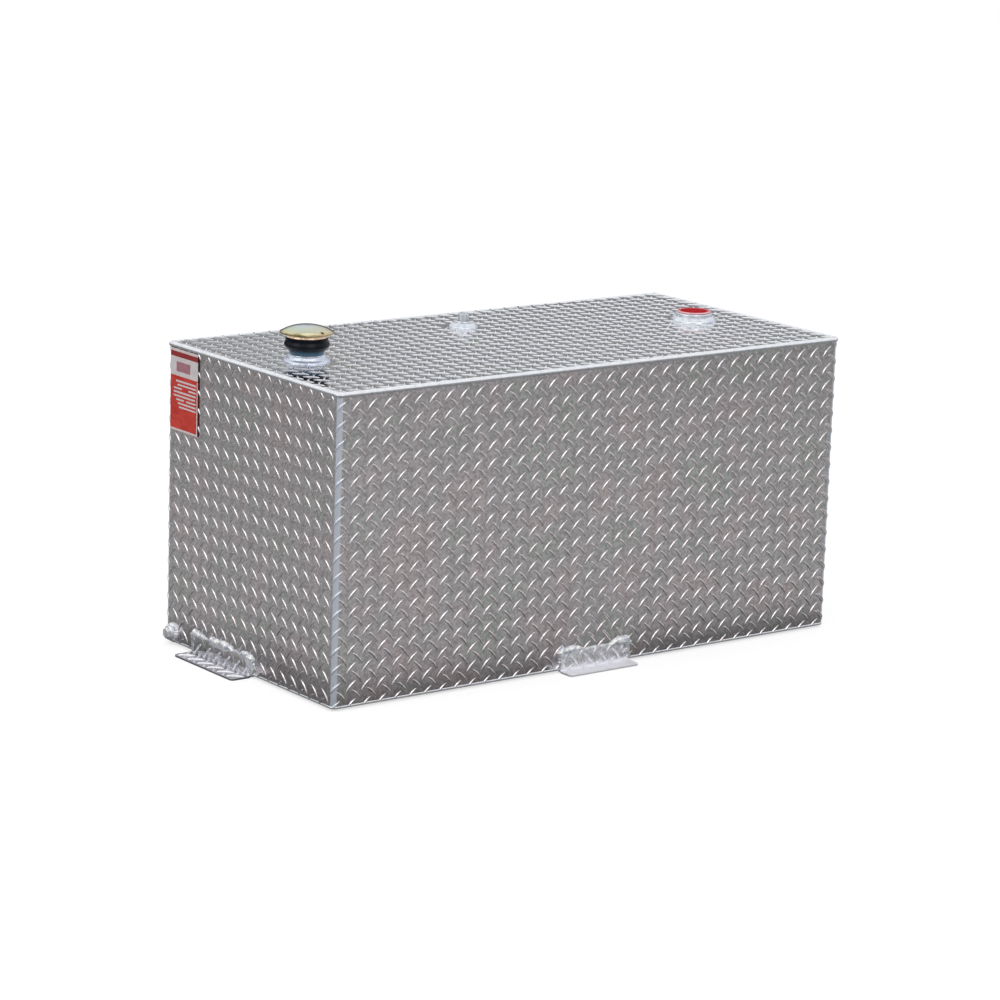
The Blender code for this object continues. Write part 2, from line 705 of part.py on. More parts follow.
def drain_coupling(finish):
    profile = [
        (DRAIN_BORE_RADIUS, -SHEET - DRAIN_SPIGOT_REACH),
        (DRAIN_SPIGOT_RADIUS, -SHEET - DRAIN_SPIGOT_REACH),
        (DRAIN_SPIGOT_RADIUS, FIT),
        (DRAIN_RADIUS, FIT),
        (DRAIN_RADIUS, DRAIN_LENGTH - DRAIN_EDGE),
        (DRAIN_RADIUS - DRAIN_EDGE, DRAIN_LENGTH),
        (DRAIN_BORE_RADIUS, DRAIN_LENGTH),
    ]
    fillet_bead("drain_coupling_weld", DRAIN_RADIUS, DRAIN_BEAD, finish, drain_place())
    return add_object("drain_coupling", turned(profile, SMALL_ROUND), finish, drain_place(), smooth=40)


def hexagon(radius, z, steps):
    """A hexagon with these corners' radius, sampled at as many points as a circle."""
    ring = []
    for k in range(steps):
        angle = 2 * math.pi * k / steps
        off = math.radians(math.degrees(angle) % 60 - 30)
        reach = radius * math.cos(math.radians(30)) / math.cos(off)
        ring.append((reach * math.cos(angle), reach * math.sin(angle), z))
    return ring


def drain_plug(finish):
    def disc(radius, z):
        return [(x, y, z) for x, y in circle(0, 0, radius, SMALL_ROUND)]

    low = DRAIN_LENGTH + FIT
    high = low + DRAIN_HEAD_HEIGHT
    chamfer = DRAIN_HEAD_CHAMFER
    rings = [
        disc(DRAIN_SHANK_RADIUS, DRAIN_LENGTH - DRAIN_PLUG_DEPTH),
        disc(DRAIN_SHANK_RADIUS, low),
        hexagon(DRAIN_HEAD_RADIUS, low, SMALL_ROUND),
        hexagon(DRAIN_HEAD_RADIUS, high - chamfer, SMALL_ROUND),
        hexagon(DRAIN_HEAD_RADIUS - 1.5 * chamfer, high, SMALL_ROUND),
    ]
    shape = bmesh.new()
    skin(shape, rings, closed=False)
    return add_object("drain_plug", shape, finish, drain_place(), smooth=25)


def lug(shape, centre_u, centre_v, turn, frame):
    """One raised lug with sloping flanks; frame takes (u, v, out) into the bracket."""
    half = LUG_LENGTH / 2
    side = LUG_WIDTH / 2
    full = LUG_SHOULDER * half
    ridge = LUG_CREST * half
    plan = [(-half, 0), (-full, -side), (full, -side), (half, 0), (full, side), (-full, side)]
    spin = Matrix.Rotation(turn, 2)

    def point(u, v, out):
        flat = spin @ Vector((u, v))
        return frame(centre_u + flat.x, centre_v + flat.y, out)

    sunk = [shape.verts.new(point(u, v, -LUG_SINK)) for u, v in plan]
    foot = [shape.verts.new(point(u, v, 0.0)) for u, v in plan]
    crest = [shape.verts.new(point(u, 0, LUG_HEIGHT)) for u in (-ridge, ridge)]
    shape.faces.new(list(reversed(sunk)))
    for i in range(6):
        j = (i + 1) % 6
        shape.faces.new((sunk[i], sunk[j], foot[j], foot[i]))
    left, right = crest
    shape.faces.new((foot[0], foot[1], left))
    shape.faces.new((foot[1], foot[2], right, left))
    shape.faces.new((foot[2], foot[3], right))
    shape.faces.new((foot[3], foot[4], right))
    shape.faces.new((foot[4], foot[5], left, right))
    shape.faces.new((foot[5], foot[0], left))


def lug_field(shape, length, low, high, frame):
    """Rows of lugs that fit whole between two edges, leaning left and right by turns."""
    reach_u = LUG_LENGTH / 2 * math.cos(LUG_ANGLE) + LUG_WIDTH / 2 * math.sin(LUG_ANGLE)
    reach_v = LUG_LENGTH / 2 * math.sin(LUG_ANGLE) + LUG_WIDTH / 2 * math.cos(LUG_ANGLE)
    half = length / 2 - BRACKET_CORNER
    row = 0
    v = low + reach_v + LUG_MARGIN
    while v + reach_v + LUG_MARGIN <= high:
        shift = 0.5 * LUG_PITCH * (row % 2)
        turn = LUG_ANGLE if row % 2 == 0 else -LUG_ANGLE
        count = int((half - reach_u) / LUG_PITCH) + 1
        for k in range(-count, count + 1):
            u = k * LUG_PITCH + shift
            if abs(u) + reach_u <= half:
                lug(shape, u, v, turn, frame)
        row += 1
        v += LUG_PITCH / 2


def bracket(name, length, leg, foot, finish, place):
    """A bent angle of tread plate: local Y points away from the wall."""
    sheet = BRACKET_SHEET
    bend = BRACKET_BEND
    section = [(FIT, leg), *arc(FIT + bend, bend, bend, 180, 270, 4), (foot, 0), (foot, sheet)]
    section += [*arc(FIT + bend, bend, bend - sheet, 270, 180, 4), (FIT + sheet, leg)]
    shape = bmesh.new()
    skin(shape, [[(x, y, z) for y, z in section] for x in (-length / 2, length / 2)], closed=False)
    made = add_object(name, shape, finish, place, smooth=30)

    field = bmesh.new()
    lug_field(field, length, bend, leg, lambda u, v, out: (u, FIT + sheet + out, v))
    lug_field(field, length, FIT + bend, foot, lambda u, v, out: (u, v, sheet + out))
    boolean(made, guide(add_object(name + "_lugs", field, place=place)), "UNION")

    corners = bmesh.new()
    cut = BRACKET_CORNER
    for side in (-1, 1):
        end = side * length / 2
        start = end - side * cut
        beyond = end + side * cut
        outline = [(start, foot + cut), (start, foot), (end, foot - cut)]
        outline += [(beyond, foot - cut), (beyond, foot + cut)]
        skin(corners, [[(x, y, z) for x, y in outline] for z in (-sheet, 3 * sheet)], closed=False)
    boolean(made, guide(add_object(name + "_corner_cuts", corners, place=place)), "DIFFERENCE")
    return made


def bracket_weld(name, length, leg, crest, finish, place):
    """A bead up both ends of the bracket's leg and along its top, thick where crest says so."""
    low = BASE_Z + FIT
    inside = length / 2 + FIT
    top = leg + FIT
    shoulder = leg - 2 * BRACKET_BEAD_SHOULDER

    def outline(share):
        half = inside + share * BRACKET_BEAD_SIDE
        round_off = share * BRACKET_BEAD_SHOULDER
        along = [(x * (inside - round_off), top + share * over) for x, over in crest]
        along[0] = (-half + round_off, along[0][1])
        along[-1] = (half - round_off, along[-1][1])
        return [
            (-inside, top), (-inside, low), (-half + round_off, low), (-half, shoulder),
            *along,
            (half, shoulder), (half - round_off, low), (inside, low), (inside, top),
        ]

    shape = bmesh.new()
    rings = []
    for out, share in BEAD_SECTION:
        y = FIT + out * BRACKET_BEAD_THICKNESS
        rings.append([(x, y, z) for x, z in outline(share)])
    skin(shape, rings, closed=False)
    return add_object(name, shape, finish, place, smooth=40)


def brackets(plate_finish, weld_finish):
    """One hold-down on each side; the back and the right repeat the front and the left."""
    front = (FRONT_BRACKET_LENGTH, FRONT_BRACKET_LEG, FRONT_BRACKET_FOOT, FRONT_BEAD_CREST)
    end = (END_BRACKET_LENGTH, END_BRACKET_LEG, END_BRACKET_FOOT, END_BEAD_CREST)
    sides = (
        ("front", front, FRONT_BRACKET_X, -DEPTH / 2, 180),
        ("back", front, FRONT_BRACKET_X, DEPTH / 2, 0),
        ("left", end, -LENGTH / 2, END_BRACKET_Y, 90),
        ("right", end, LENGTH / 2, END_BRACKET_Y, -90),
    )
    for side, (length, leg, foot, crest), x, y, turn in sides:
        place = Matrix.Translation((x, y, 0)) @ Matrix.Rotation(math.radians(turn), 4, "Z")
        bracket(side + "_bracket", length, leg, foot, plate_finish, place)
        bracket_weld(side + "_bracket_weld", length, leg, crest, weld_finish, place)


def side_label(finish):
    """A printed film high on the left end, near the back."""
    flat = rounded_rectangle(LABEL_WIDTH, LABEL_HEIGHT, LABEL_CORNER, LABEL_CORNER_STEPS)
    y = DEPTH / 2 - LABEL_FROM_BACK - LABEL_WIDTH / 2
    z = TOP_Z - LABEL_FROM_TOP - LABEL_HEIGHT / 2
    face = -LENGTH / 2 - FIT
    turn = Matrix(((0, 0, -1, face), (-1, 0, 0, y), (0, 1, 0, z), (0, 0, 0, 1)))
    return add_object("side_label", prism(flat, 0, LABEL_THICKNESS), finish, turn)


def empty(name, x, y, z):
    made = bpy.data.objects.new(name, None)
    bpy.context.scene.collection.objects.link(made)
    made.location = (x, y, z)
    return made


def main():
    clear_scene()
    tread = material("tread_plate_aluminium", (0.60, 0.60, 0.61), 0.32, 1.0)
    plain = material("sheet_aluminium", (0.66, 0.66, 0.67), 0.40, 1.0)
    weld = material("weld_metal", (0.78, 0.79, 0.82), 0.30, 1.0)
    turned_metal = material("turned_aluminium", (0.76, 0.77, 0.80), 0.25, 1.0)
    gold = material("yellow_zinc_plate", (0.80, 0.64, 0.30), 0.25, 1.0)
    steel = material("bright_steel", (0.62, 0.62, 0.60), 0.30, 1.0)
    grey = material("grey_valve_metal", (0.50, 0.51, 0.52), 0.45, 1.0)
    black = material("black_plastic", (0.015, 0.016, 0.018), 0.45, 0.0)
    rubber = material("seal_rubber", (0.03, 0.03, 0.03), 0.70, 0.0)
    red = material("red_plastic", (0.55, 0.01, 0.02), 0.35, 0.0)
    film = material("printed_film", (0.62, 0.04, 0.03), 0.40, 0.0)

    wrap_sheet(tread)
    top_plate(tread)
    bottom_plate(tread)
    wrap_seam_weld(weld)
    top_seam_weld(weld)
    bottom_seam_weld(weld)

    spacing = LENGTH / (BAFFLE_COUNT + 1)
    for k in range(BAFFLE_COUNT):
        x = -LENGTH / 2 + spacing * (k + 1)
        baffle("baffle_" + str(k + 1), x, 1 if x < 0 else -1, plain)

    filler_collar(turned_metal)
    filler_neck(black)
    carrier = empty("cap_axis", FILLER_X, FILLER_Y, COLLAR_TOP)
    cap_gasket(rubber, carrier)
    cap_inner_shell(steel, carrier)
    cap_cover(gold, carrier)
    cap_rivet(steel, carrier)

    pump_bung(turned_metal)
    pump_port_plug(red)
    vent_boss(turned_metal)
    vent_valve_body(grey)
    vent_ball(steel)
    drain_coupling(turned_metal)
    drain_plug(grey)
    brackets(tread, weld)
    side_label(film)


main()
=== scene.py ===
"""Looks of the truck bed transfer tank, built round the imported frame. Metres, +Z up."""
import math

import bmesh
import bpy
import numpy as np
from mathutils import Matrix, Vector, noise


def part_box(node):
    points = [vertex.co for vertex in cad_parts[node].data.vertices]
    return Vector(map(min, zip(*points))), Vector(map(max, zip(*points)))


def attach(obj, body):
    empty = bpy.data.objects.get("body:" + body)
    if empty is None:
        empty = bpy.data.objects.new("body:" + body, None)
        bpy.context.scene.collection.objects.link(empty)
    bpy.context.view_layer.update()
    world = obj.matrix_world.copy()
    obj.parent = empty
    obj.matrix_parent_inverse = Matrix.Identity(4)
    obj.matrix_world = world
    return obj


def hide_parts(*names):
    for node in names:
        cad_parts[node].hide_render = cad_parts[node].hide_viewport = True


# Camera, as fitted to the photograph's tank corners
CAMERA_AT = (-3.2933, -4.3025, 1.4602)
CAMERA_FORWARD = (0.59125, 0.77455, -0.22472)
CAMERA_ROLL = math.radians(1.863)
SENSOR = 36.0
FOCAL_PIXELS = 3644.56
PHOTO_PIXELS = 1000

# Sheet
SHEET = 0.0032
BEND_RADIUS = 0.0075

FRONT, RIGHT, BACK, LEFT = range(4)

# Tread lugs
LUG_HALF = 0.0131
LUG_WIDTH = 0.0022
LUG_HEIGHT = 0.0014
LUG_SINK = 0.0002
LUG_ANGLE = math.radians(47.0)
LUG_STEPS = 8
LUG_BOW = 0.0019            # how far a lug's ends fall behind its middle, across it
LUG_SECTION = (             # across in half widths, height
    (-1.0, 0.0), (-0.80, 0.40), (-0.56, 0.72), (-0.28, 0.93), (0.0, 1.0),
    (0.28, 0.93), (0.56, 0.72), (0.80, 0.40), (1.0, 0.0),
)
LUG_SMOOTH = 50
WALL_PITCH_U = 0.02660
WALL_PITCH_Z = 0.02710
WALL_PHASE_U = 0.0215       # first lug's centre from the left end of the front's flat
WALL_PHASE_TOP = 0.0196     # first row under the tank's top
BEND_TAKES = 0.0046         # how much of the pattern each of the wrap's bends takes up
SEAM_CLEAR = 0.0020         # from the back seam's middle to the lugs' cut ends
COVER_GAP = 0.0004          # round what hides the lugs behind it
TOP_ORIGIN = (-0.0023, -0.0647)
TOP_STEP_X = (0.02606, -0.00163)
TOP_STEP_Y = (-0.00024, 0.02646)
TOP_LUG_HEIGHT = 0.0012
FITTING_CLEAR = 0.0005

# Weld beads
RIPPLE_PITCH = 0.0027
RIPPLE_DEPTH = 0.00016
RIPPLE_LAG = 0.55           # how far a ripple's sides trail its middle, in pitches
RIPPLE_STEP = 0.0007
BEAD_SINK = 0.0002
BEAD_ROOT = 0.0006          # how far a ring bead reaches into its fitting
BEAD_SMOOTH = 60
# Seams' sections, as (outward from the wall's face, up from the top's face)
TOP_BEAD = (
    (-0.0006, -0.0066), (0.0008, -0.0063), (0.0020, -0.0054), (0.0027, -0.0041), (0.0029, -0.0029),
    (0.0025, -0.0018), (0.0014, -0.0006), (0.0, 0.0003), (-0.0016, 0.0008), (-0.0032, 0.0009),
    (-0.0046, 0.0005), (-0.0054, -0.0006),
)
BOTTOM_BEAD = (
    (-0.0018, 0.0003), (-0.0006, 0.0004), (0.0002, 0.0010), (0.0005, 0.0020), (0.0005, 0.0030),
    (0.0002, 0.0039), (-0.0006, 0.0044), (-0.0018, 0.0044),
)

# Brackets
BRACKET_BEND = 0.0026       # inside radius, on the tread side
BRACKET_CORNER = 0.0060
BRACKET_EDGE = 0.0005
BRACKET_PITCH = 0.0265
LUMP_STEP = 0.0019
LUMP_HALF = 0.0033
LUMP_VOXEL = 0.00065
LUMP_FOOT = 0.0040          # how high over the foot the leg's bead starts and ends
LUMP_JITTER = 0.0003        # a lump's own step aside, and how far its neighbours wander with it
LUMP_DRIFT = 0.0016
LUMP_SINK = 0.0004
LUMP_ROUGH = (420.0, 0.00070)   # frequency, depth
LUMP_FINE = (1000.0, 0.00026)
# (share of the way round the leg, outward, inward, height over the leg)
FRONT_PLAN = (
    (0.00, 0.0020, 0.0110, 0.0014), (0.10, 0.0025, 0.0120, 0.0022), (0.15, 0.0075, 0.0080, 0.0034),
    (0.33, 0.0085, 0.0055, 0.0032), (0.37, 0.0016, 0.0006, 0.0008), (0.68, 0.0016, 0.0006, 0.0008),
    (0.72, 0.0095, 0.0070, 0.0028), (0.84, 0.0100, 0.0100, 0.0036), (0.88, 0.0040, 0.0180, 0.0030),
    (1.00, 0.0040, 0.0170, 0.0012),
)
END_PLAN = (
    (0.00, 0.0050, 0.0080, 0.0014), (0.09, 0.0060, 0.0090, 0.0024), (0.13, 0.0090, 0.0075, 0.0032),
    (0.20, 0.0080, 0.0040, 0.0028), (0.25, 0.0024, 0.0008, 0.0006), (0.31, 0.0024, 0.0008, 0.0006),
    (0.35, 0.0080, 0.0070, 0.0032), (0.57, 0.0085, 0.0070, 0.0032), (0.63, 0.0024, 0.0008, 0.0006),
    (0.72, 0.0024, 0.0008, 0.0006), (0.79, 0.0078, 0.0060, 0.0028), (0.87, 0.0065, 0.0190, 0.0026),
    (1.00, 0.0065, 0.0190, 0.0014),
)
# the feet's tones are painted light and shade, and the end brackets' lugs are painted paler than their sheet
# (sheet's look, lugs' look, heights of the two ways that lugs lean on the foot, and on the leg)
LONG_SIDE = ("bracket_wear_and_painted_light", "bracket_wear_and_painted_light", (0.0006, 0.0006), (0.0015, 0.0014))
END_SIDE = ("bracket", "bracket_lugs", (0.0024, 0.0007), (0.0017, 0.0004))
BRACKETS = (  # node, outward, bead's plan, lugs' phase, seed, looks and heights
    ("front_bracket", (0, -1), FRONT_PLAN, (0.0139, 0.0247), 11, LONG_SIDE),
    ("back_bracket", (0, 1), FRONT_PLAN, (0.0120, 0.0090), 23, LONG_SIDE),
    ("left_bracket", (-1, 0), END_PLAN, (0.0147, 0.0137), 37, END_SIDE),
    ("right_bracket", (1, 0), END_PLAN, (0.0200, 0.0140), 41, END_SIDE),
)

# Fittings, from their own boxes where not here
NECK_BORE = 0.0190
NECK_WAIST = 0.0240
NECK_SUNK = 0.0045          # how far its cone goes down into the collar's rounded top
NECK_FLARE = 0.0334
NECK_FLARE_Z = 0.0090
NECK_SHOULDER = 0.0312
NECK_SHOULDER_Z = 0.0200
NECK_SPIGOT = 0.0282
NECK_SPIGOT_TOP = 0.0265
NECK_DEPTH = 0.0120
NECK_THREAD = 0.0212
COVER_SHEET = 0.0010
COVER_RIM_ROLL = 0.0011
COVER_DOME_RISE = 0.0100
COVER_FULLNESS = 2.4        # 2 is a ball's arc, more is flatter on top and rounder at the rim
COVER_SKIRT_INNER = 0.0301
COVER_HOLE = 0.0027
COVER_HOLE_FROM_AXIS = 0.0345
COVER_HOLE_AZIMUTH = math.radians(-85.0)
COVER_SMOOTH = 45
PLUG_WALL = 0.0017
PLUG_FLANGE = 0.0020
PLUG_CUP = 0.0222
# (bore, spigot, how far the spigot drops, radius of the corners, share of it inside)
COLLAR = (0.0215, 0.0250, 0.0060, 0.0016, 0.5)
BUNG = (0.0226, 0.0285, 0.0060, 0.0020, 0.5)
BOSS = (0.0081, 0.0120, 0.0080, 0.0014, 0.4)
SEAT = 0.0003               # how far a fitting's underside stands off the plate
ROUND_STEPS = 128
SMALL_STEPS = 72

# Label
LABEL_PRINT = 0.00012       # how far the print stands off the film
LABEL_PALE = (  # left, right, bottom, top, as shares of the film
    (0.00, 1.00, 0.966, 0.999), (0.00, 1.00, 0.674, 0.902), (0.965, 0.995, 0.03, 0.66),
    (0.00, 1.00, 0.004, 0.030), (0.20, 0.93, 0.600, 0.622), (0.26, 0.93, 0.556, 0.577),
    (0.12, 0.42, 0.512, 0.532), (0.66, 0.93, 0.512, 0.532), (0.12, 0.93, 0.466, 0.488),
    (0.12, 0.90, 0.421, 0.442), (0.22, 0.50, 0.377, 0.397), (0.58, 0.93, 0.377, 0.397),
    (0.28, 0.93, 0.332, 0.353), (0.32, 0.93, 0.288, 0.308),
)
LABEL_DARK = ((0.00, 1.00, 0.906, 0.960),)
LABEL_MUTED = ((0.22, 0.72, 0.728, 0.846),)

# Nodes by look; one that isn't here is weld metal
LOOK_NODES = {
    "wall": "wrap_sheet", "top": "top_plate", "sheet": "bottom_plate baffle_1 baffle_2",
    "bracket": "front_bracket back_bracket left_bracket right_bracket", "film": "side_label",
    "turned": "filler_collar pump_bung vent_boss", "black": "filler_neck", "zinc": "cap_cover",
    "rubber": "cap_gasket", "steel": "cap_inner_shell cap_rivet vent_ball", "red": "pump_port_plug",
    "grey": "vent_valve_body",
}
CAP_WARM_REFLECTION_WAY = (0.775, -0.591, 0.0)   # the cap is painted warmer that way, a painted reflection
FOOT_TOP = (0.0062, 0.0080)           # heights between which a bracket's foot, worn and with painted light and shade in its tone, turns to its leg

# Studio
SKY = (  # sine of the elevation, light
    (-1.00, 0.30), (-0.05, 0.32), (0.05, 0.44), (0.20, 0.39), (0.24, 0.55), (0.36, 0.90), (0.60, 1.00),
    (0.80, 1.00), (0.94, 0.50), (1.00, 0.44),
)
BACK_LIGHT = 0.91            # of the rest of the sky
BACK_STRIP = (0.607, 0.795, 0.0)
BACK_STRIP_LIGHT = 0.03
BACK_STRIP_EDGE = (0.30, 0.70)      # cosines from its middle
BACK_STRIP_TOP = (0.150, 0.172)     # sines of the elevation
RIGHT_GLOW = (0.98, -0.20, 0.0)
RIGHT_GLOW_LIGHT = 0.78
RIGHT_GLOW_EDGE = (0.80, 0.92)
RIGHT_GLOW_TOP = (0.16, 0.26)
FLOOR_SIZE = 30
FLOOR_NEAR = 0.20            # what the floor bounces right beside the tank, darker there as painted shade, round it and far off
FLOOR_MIDDLE = 0.395
FLOOR_FAR = 0.10
FLOOR_NEAR_ENDS = (0.04, 0.15)      # distances from the tank
FLOOR_FAR_STARTS = (2.2, 4.5)
FLOOR_LEFT = 0.86            # of the rest of the floor
FLOOR_LEFT_ENDS = (-1.3, -0.3)
FLOOR_SEEN = 0.45
FLOOR_GLOW = 0.66
LAMPS = (  # name, way to it, distance, side, radiance
    ("front_softbox", (-0.19, -0.80, 0.56), 3.6, 1.8, 1.52),
    ("left_softbox", (-0.87, 0.05, 0.50), 3.6, 1.8, 1.34),
    ("top_softbox", (0.07, 0.11, 0.99), 3.2, 1.6, 0.74),
)
LAMP_AIM = (0.0, 0.0, 0.25)


def srgb(red, green, blue):
    """A colour given as 0 to 255 on screen, as linear light."""
    made = []
    for part in (red, green, blue):
        share = part / 255
        made.append(share / 12.92 if share <= 0.04045 else ((share + 0.055) / 1.055) ** 2.4)
    return (*made, 1.0)


# Nodes
class Nodes:
    """A node tree, with the kinds of node that the looks take; an input is a socket or a plain value."""

    def __init__(self, owner, output):
        owner.use_nodes = True
        self.tree = owner.node_tree
        self.tree.nodes.clear()
        self.out = self.tree.nodes.new(output)

    def add(self, kind, inputs=None, output=0, **settings):
        made = self.tree.nodes.new("ShaderNode" + kind)
        for name, value in settings.items():
            setattr(made, name, value)
        for key, value in (inputs or {}).items():
            if isinstance(value, bpy.types.NodeSocket):
                self.tree.links.new(value, made.inputs[key])
            else:
                made.inputs[key].default_value = value
        return made.outputs[output]

    def coordinates(self, scale=(1.0, 1.0, 1.0)):
        source = self.add("TexCoord", output="Object")
        return self.add("Mapping", {"Vector": source, "Scale": scale}, "Vector")

    def noise(self, vector, scale, detail=4.0, roughness=0.5):
        inputs = {"Vector": vector, "Scale": scale, "Detail": detail, "Roughness": roughness}
        return self.add("TexNoise", inputs, "Fac")

    def ramp(self, factor, stops):
        made = self.tree.nodes.new("ShaderNodeValToRGB")
        elements = made.color_ramp.elements
        while len(elements) < len(stops):
            elements.new(0.5)
        for element, (position, colour) in zip(elements, stops):
            element.position = position
            element.color = colour
        self.tree.links.new(factor, made.inputs["Fac"])
        return made.outputs["Color"]

    def ranged(self, value, low, high, to_low=0.0, to_high=1.0):
        inputs = {"Value": value, "From Min": low, "From Max": high, "To Min": to_low, "To Max": to_high}
        return self.add("MapRange", inputs, "Result")

    def calc(self, operation, first, second=0.0):
        return self.add("Math", {0: first, 1: second}, operation=operation)

    def vector(self, operation, first, second, output="Vector"):
        return self.add("VectorMath", {0: first, 1: second}, output, operation=operation)

    def scaled(self, colour, factor):
        return self.add("VectorMath", {0: colour, "Scale": factor}, "Vector", operation="SCALE")

    def part(self, vector, axis):
        return self.add("SeparateXYZ", {"Vector": vector}, axis)

    def mixed(self, factor, first, target):
        """A socket blended to a plain value or a plain colour."""
        if isinstance(target, float):
            return self.add("Mix", {0: factor, 2: first, 3: target}, data_type="FLOAT")
        return self.add("Mix", {0: factor, 6: first, 7: target}, 2, data_type="RGBA")

    def show(self, shader):
        self.tree.links.new(shader, self.out.inputs["Surface"])

    def show_both(self, bounced, seen):
        """One shader for the light that bounces, another for what the camera sees."""
        path = self.add("LightPath", output="Is Camera Ray")
        self.show(self.add("MixShader", {"Fac": path, 1: bounced, 2: seen}))


class Look(Nodes):
    """A material in the making, with the object's own coordinates and a soft noise over them at hand."""

    def __init__(self, name, cloud, detail=4.0, stretch=(1.0, 1.0, 1.0)):
        self.made = bpy.data.materials.new(name)
        super().__init__(self.made, "ShaderNodeOutputMaterial")
        self.flat = self.coordinates()
        self.height = self.part(self.flat, "Z")
        self.cloud = self.noise(self.coordinates(stretch), cloud, detail)

    def tones(self, *stops):
        return self.ramp(self.cloud, stops)

    def uneven(self, low, high):
        return self.ranged(self.cloud, 0.3, 0.7, low, high)

    def from_axis(self, node):
        """Distance from a node's upright axis."""
        centred = self.vector("SUBTRACT", self.flat, (*axis_of(node), 0.0))
        level = self.vector("MULTIPLY", centred, (1.0, 1.0, 0.0))
        return self.add("VectorMath", {0: level}, "Value", operation="LENGTH")

    def done(self, colour, gloss, grain, depth, strength=0.5, detail=3.0, along=(1.0, 1.0, 1.0),
             metallic=0.0, specular=0.5):
        """The finished material; grain and depth are the fine bump's scale and distance."""
        fine = self.noise(self.coordinates(along), grain, detail)
        normal = self.add("Bump", {"Height": fine, "Distance": depth, "Strength": strength}, "Normal")
        self.show(self.add("BsdfPrincipled", {
            "Base Color": colour, "Roughness": gloss, "Metallic": metallic, "Specular IOR Level": specular,
            "Normal": normal,
        }))
        return self.made


# Materials
def rolled(name, tones, roughness, grain=(1.0, 1.0, 1.0), spread=16.0, bends=False, foot_wear_and_painted_light=None,
           mottled=(0.76, 1.17)):
    """Mill aluminium: soft patches of tone, fine speckle and rolling grain, a little uneven gloss.

    For a bracket's foot, a tone, roughness and metallic: the roughness and metallic stand for wear, the tone
    for painted light and shade on its upturned face; mottled: how dark and how pale the speckle gets.
    """
    look = Look(name, spread, 2.0)
    colour = look.tones((0.36, tones[0]), (0.50, tones[1]), (0.64, tones[2]))
    speckle = look.noise(look.flat, 240.0, 2.0, 0.7)
    colour = look.scaled(colour, look.ranged(speckle, 0.38, 0.62, *mottled))
    gloss = look.ranged(look.noise(look.flat, 60.0), 0.3, 0.7, roughness - 0.04, roughness + 0.05)
    metallic = 1.0
    if bends:
        bend = corner_mask(look)
        colour = look.mixed(bend, colour, srgb(232, 238, 248))
        gloss = look.mixed(bend, gloss, 0.55)
    # painted light and shade: the foot's tone stands for how light falls on its upturned face; its roughness
    # and metallic are wear
    if foot_wear_and_painted_light:
        tone, dullness, metal = foot_wear_and_painted_light
        foot = look.ranged(look.height, *FOOT_TOP, 1.0, 0.0)
        colour = look.mixed(foot, colour, tone)
        gloss = look.mixed(foot, gloss, dullness)
        metallic = look.ranged(foot, 0.0, 1.0, 1.0, metal)
    return look.done(colour, gloss, 900.0, 0.00004, along=grain, metallic=metallic)


def corner_mask(look):
    """1 on the wrapped sheet's four bends, which are paler and duller."""
    low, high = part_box("wrap_sheet")
    masks = []
    for axis, reach in (("X", high.x), ("Y", high.y)):
        away = look.calc("ABSOLUTE", look.part(look.flat, axis))
        masks.append(look.ranged(away, reach - 1.02 * BEND_RADIUS, reach - 0.78 * BEND_RADIUS))
    return look.calc("MULTIPLY", *masks)


def weld_metal(name, low, high, painted_shade_heights=None):
    """Fresh weld: pale, frosted and a little blue; the heights given last, where given, are those between
    which it turns paler going up: painted shade on the bead's lower side.
    """
    look = Look(name, 120.0)
    colour = look.tones((0.28, low), (0.62, high))
    # painted shade: darker low on the bead
    if painted_shade_heights:
        colour = look.scaled(colour, look.ranged(look.height, *painted_shade_heights, 0.62, 1.0))
    return look.done(colour, look.uneven(0.26, 0.42), 1400.0, 0.00008, 0.6, 4.0, metallic=0.72)


def turned_metal(name, low, high, roughness):
    """Turned or plated metal, with faint rings of tool marks left as uneven gloss."""
    look = Look(name, 70.0)
    colour = look.tones((0.32, low), (0.66, high))
    gloss = look.uneven(roughness - 0.05, roughness + 0.06)
    return look.done(colour, gloss, 400.0, 0.00003, 0.4, along=(1, 1, 30), metallic=1.0)


def moulded(name, low, high, roughness):
    """Moulded plastic, rubber or print, with a fine grain."""
    look = Look(name, 90.0)
    colour = look.tones((0.35, low), (0.65, high))
    return look.done(colour, look.uneven(roughness - 0.04, roughness + 0.06), 1800.0, 0.00005)


def printed_film(name):
    """Red film, its cut edges painted nearly black as painted shade."""
    look = Look(name, 160.0, stretch=(1.0, 0.3, 1.0))
    colour = look.tones((0.35, srgb(204, 46, 36)), (0.65, srgb(224, 68, 54)))
    # painted shade: the film's cut edges are darkened nearly to black
    facing = look.part(look.add("NewGeometry", output="True Normal"), "X")
    edge = look.ranged(look.calc("ABSOLUTE", facing), 0.4, 0.6, 1.0, 0.0)
    return look.done(look.mixed(edge, colour, srgb(84, 30, 30)), 0.34, 1800.0, 0.00003)


def neck_plastic(name):
    """Black moulding, bluer toward the foot of its cone: a painted reflection of the weld below it."""
    look = Look(name, 90.0)
    colour = look.tones((0.35, srgb(8, 11, 18)), (0.65, srgb(15, 22, 33)))
    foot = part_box("filler_neck")[1].z - NECK_SPIGOT_TOP
    # painted reflection: the cone's foot is painted pale blue for the weld it faces
    weld_reflection = look.ranged(look.height, foot - NECK_SUNK, foot + 0.0040, 1.0, 0.0)
    colour = look.mixed(weld_reflection, colour, srgb(88, 126, 152))
    return look.done(colour, look.uneven(0.22, 0.32), 1800.0, 0.00005, specular=0.16)


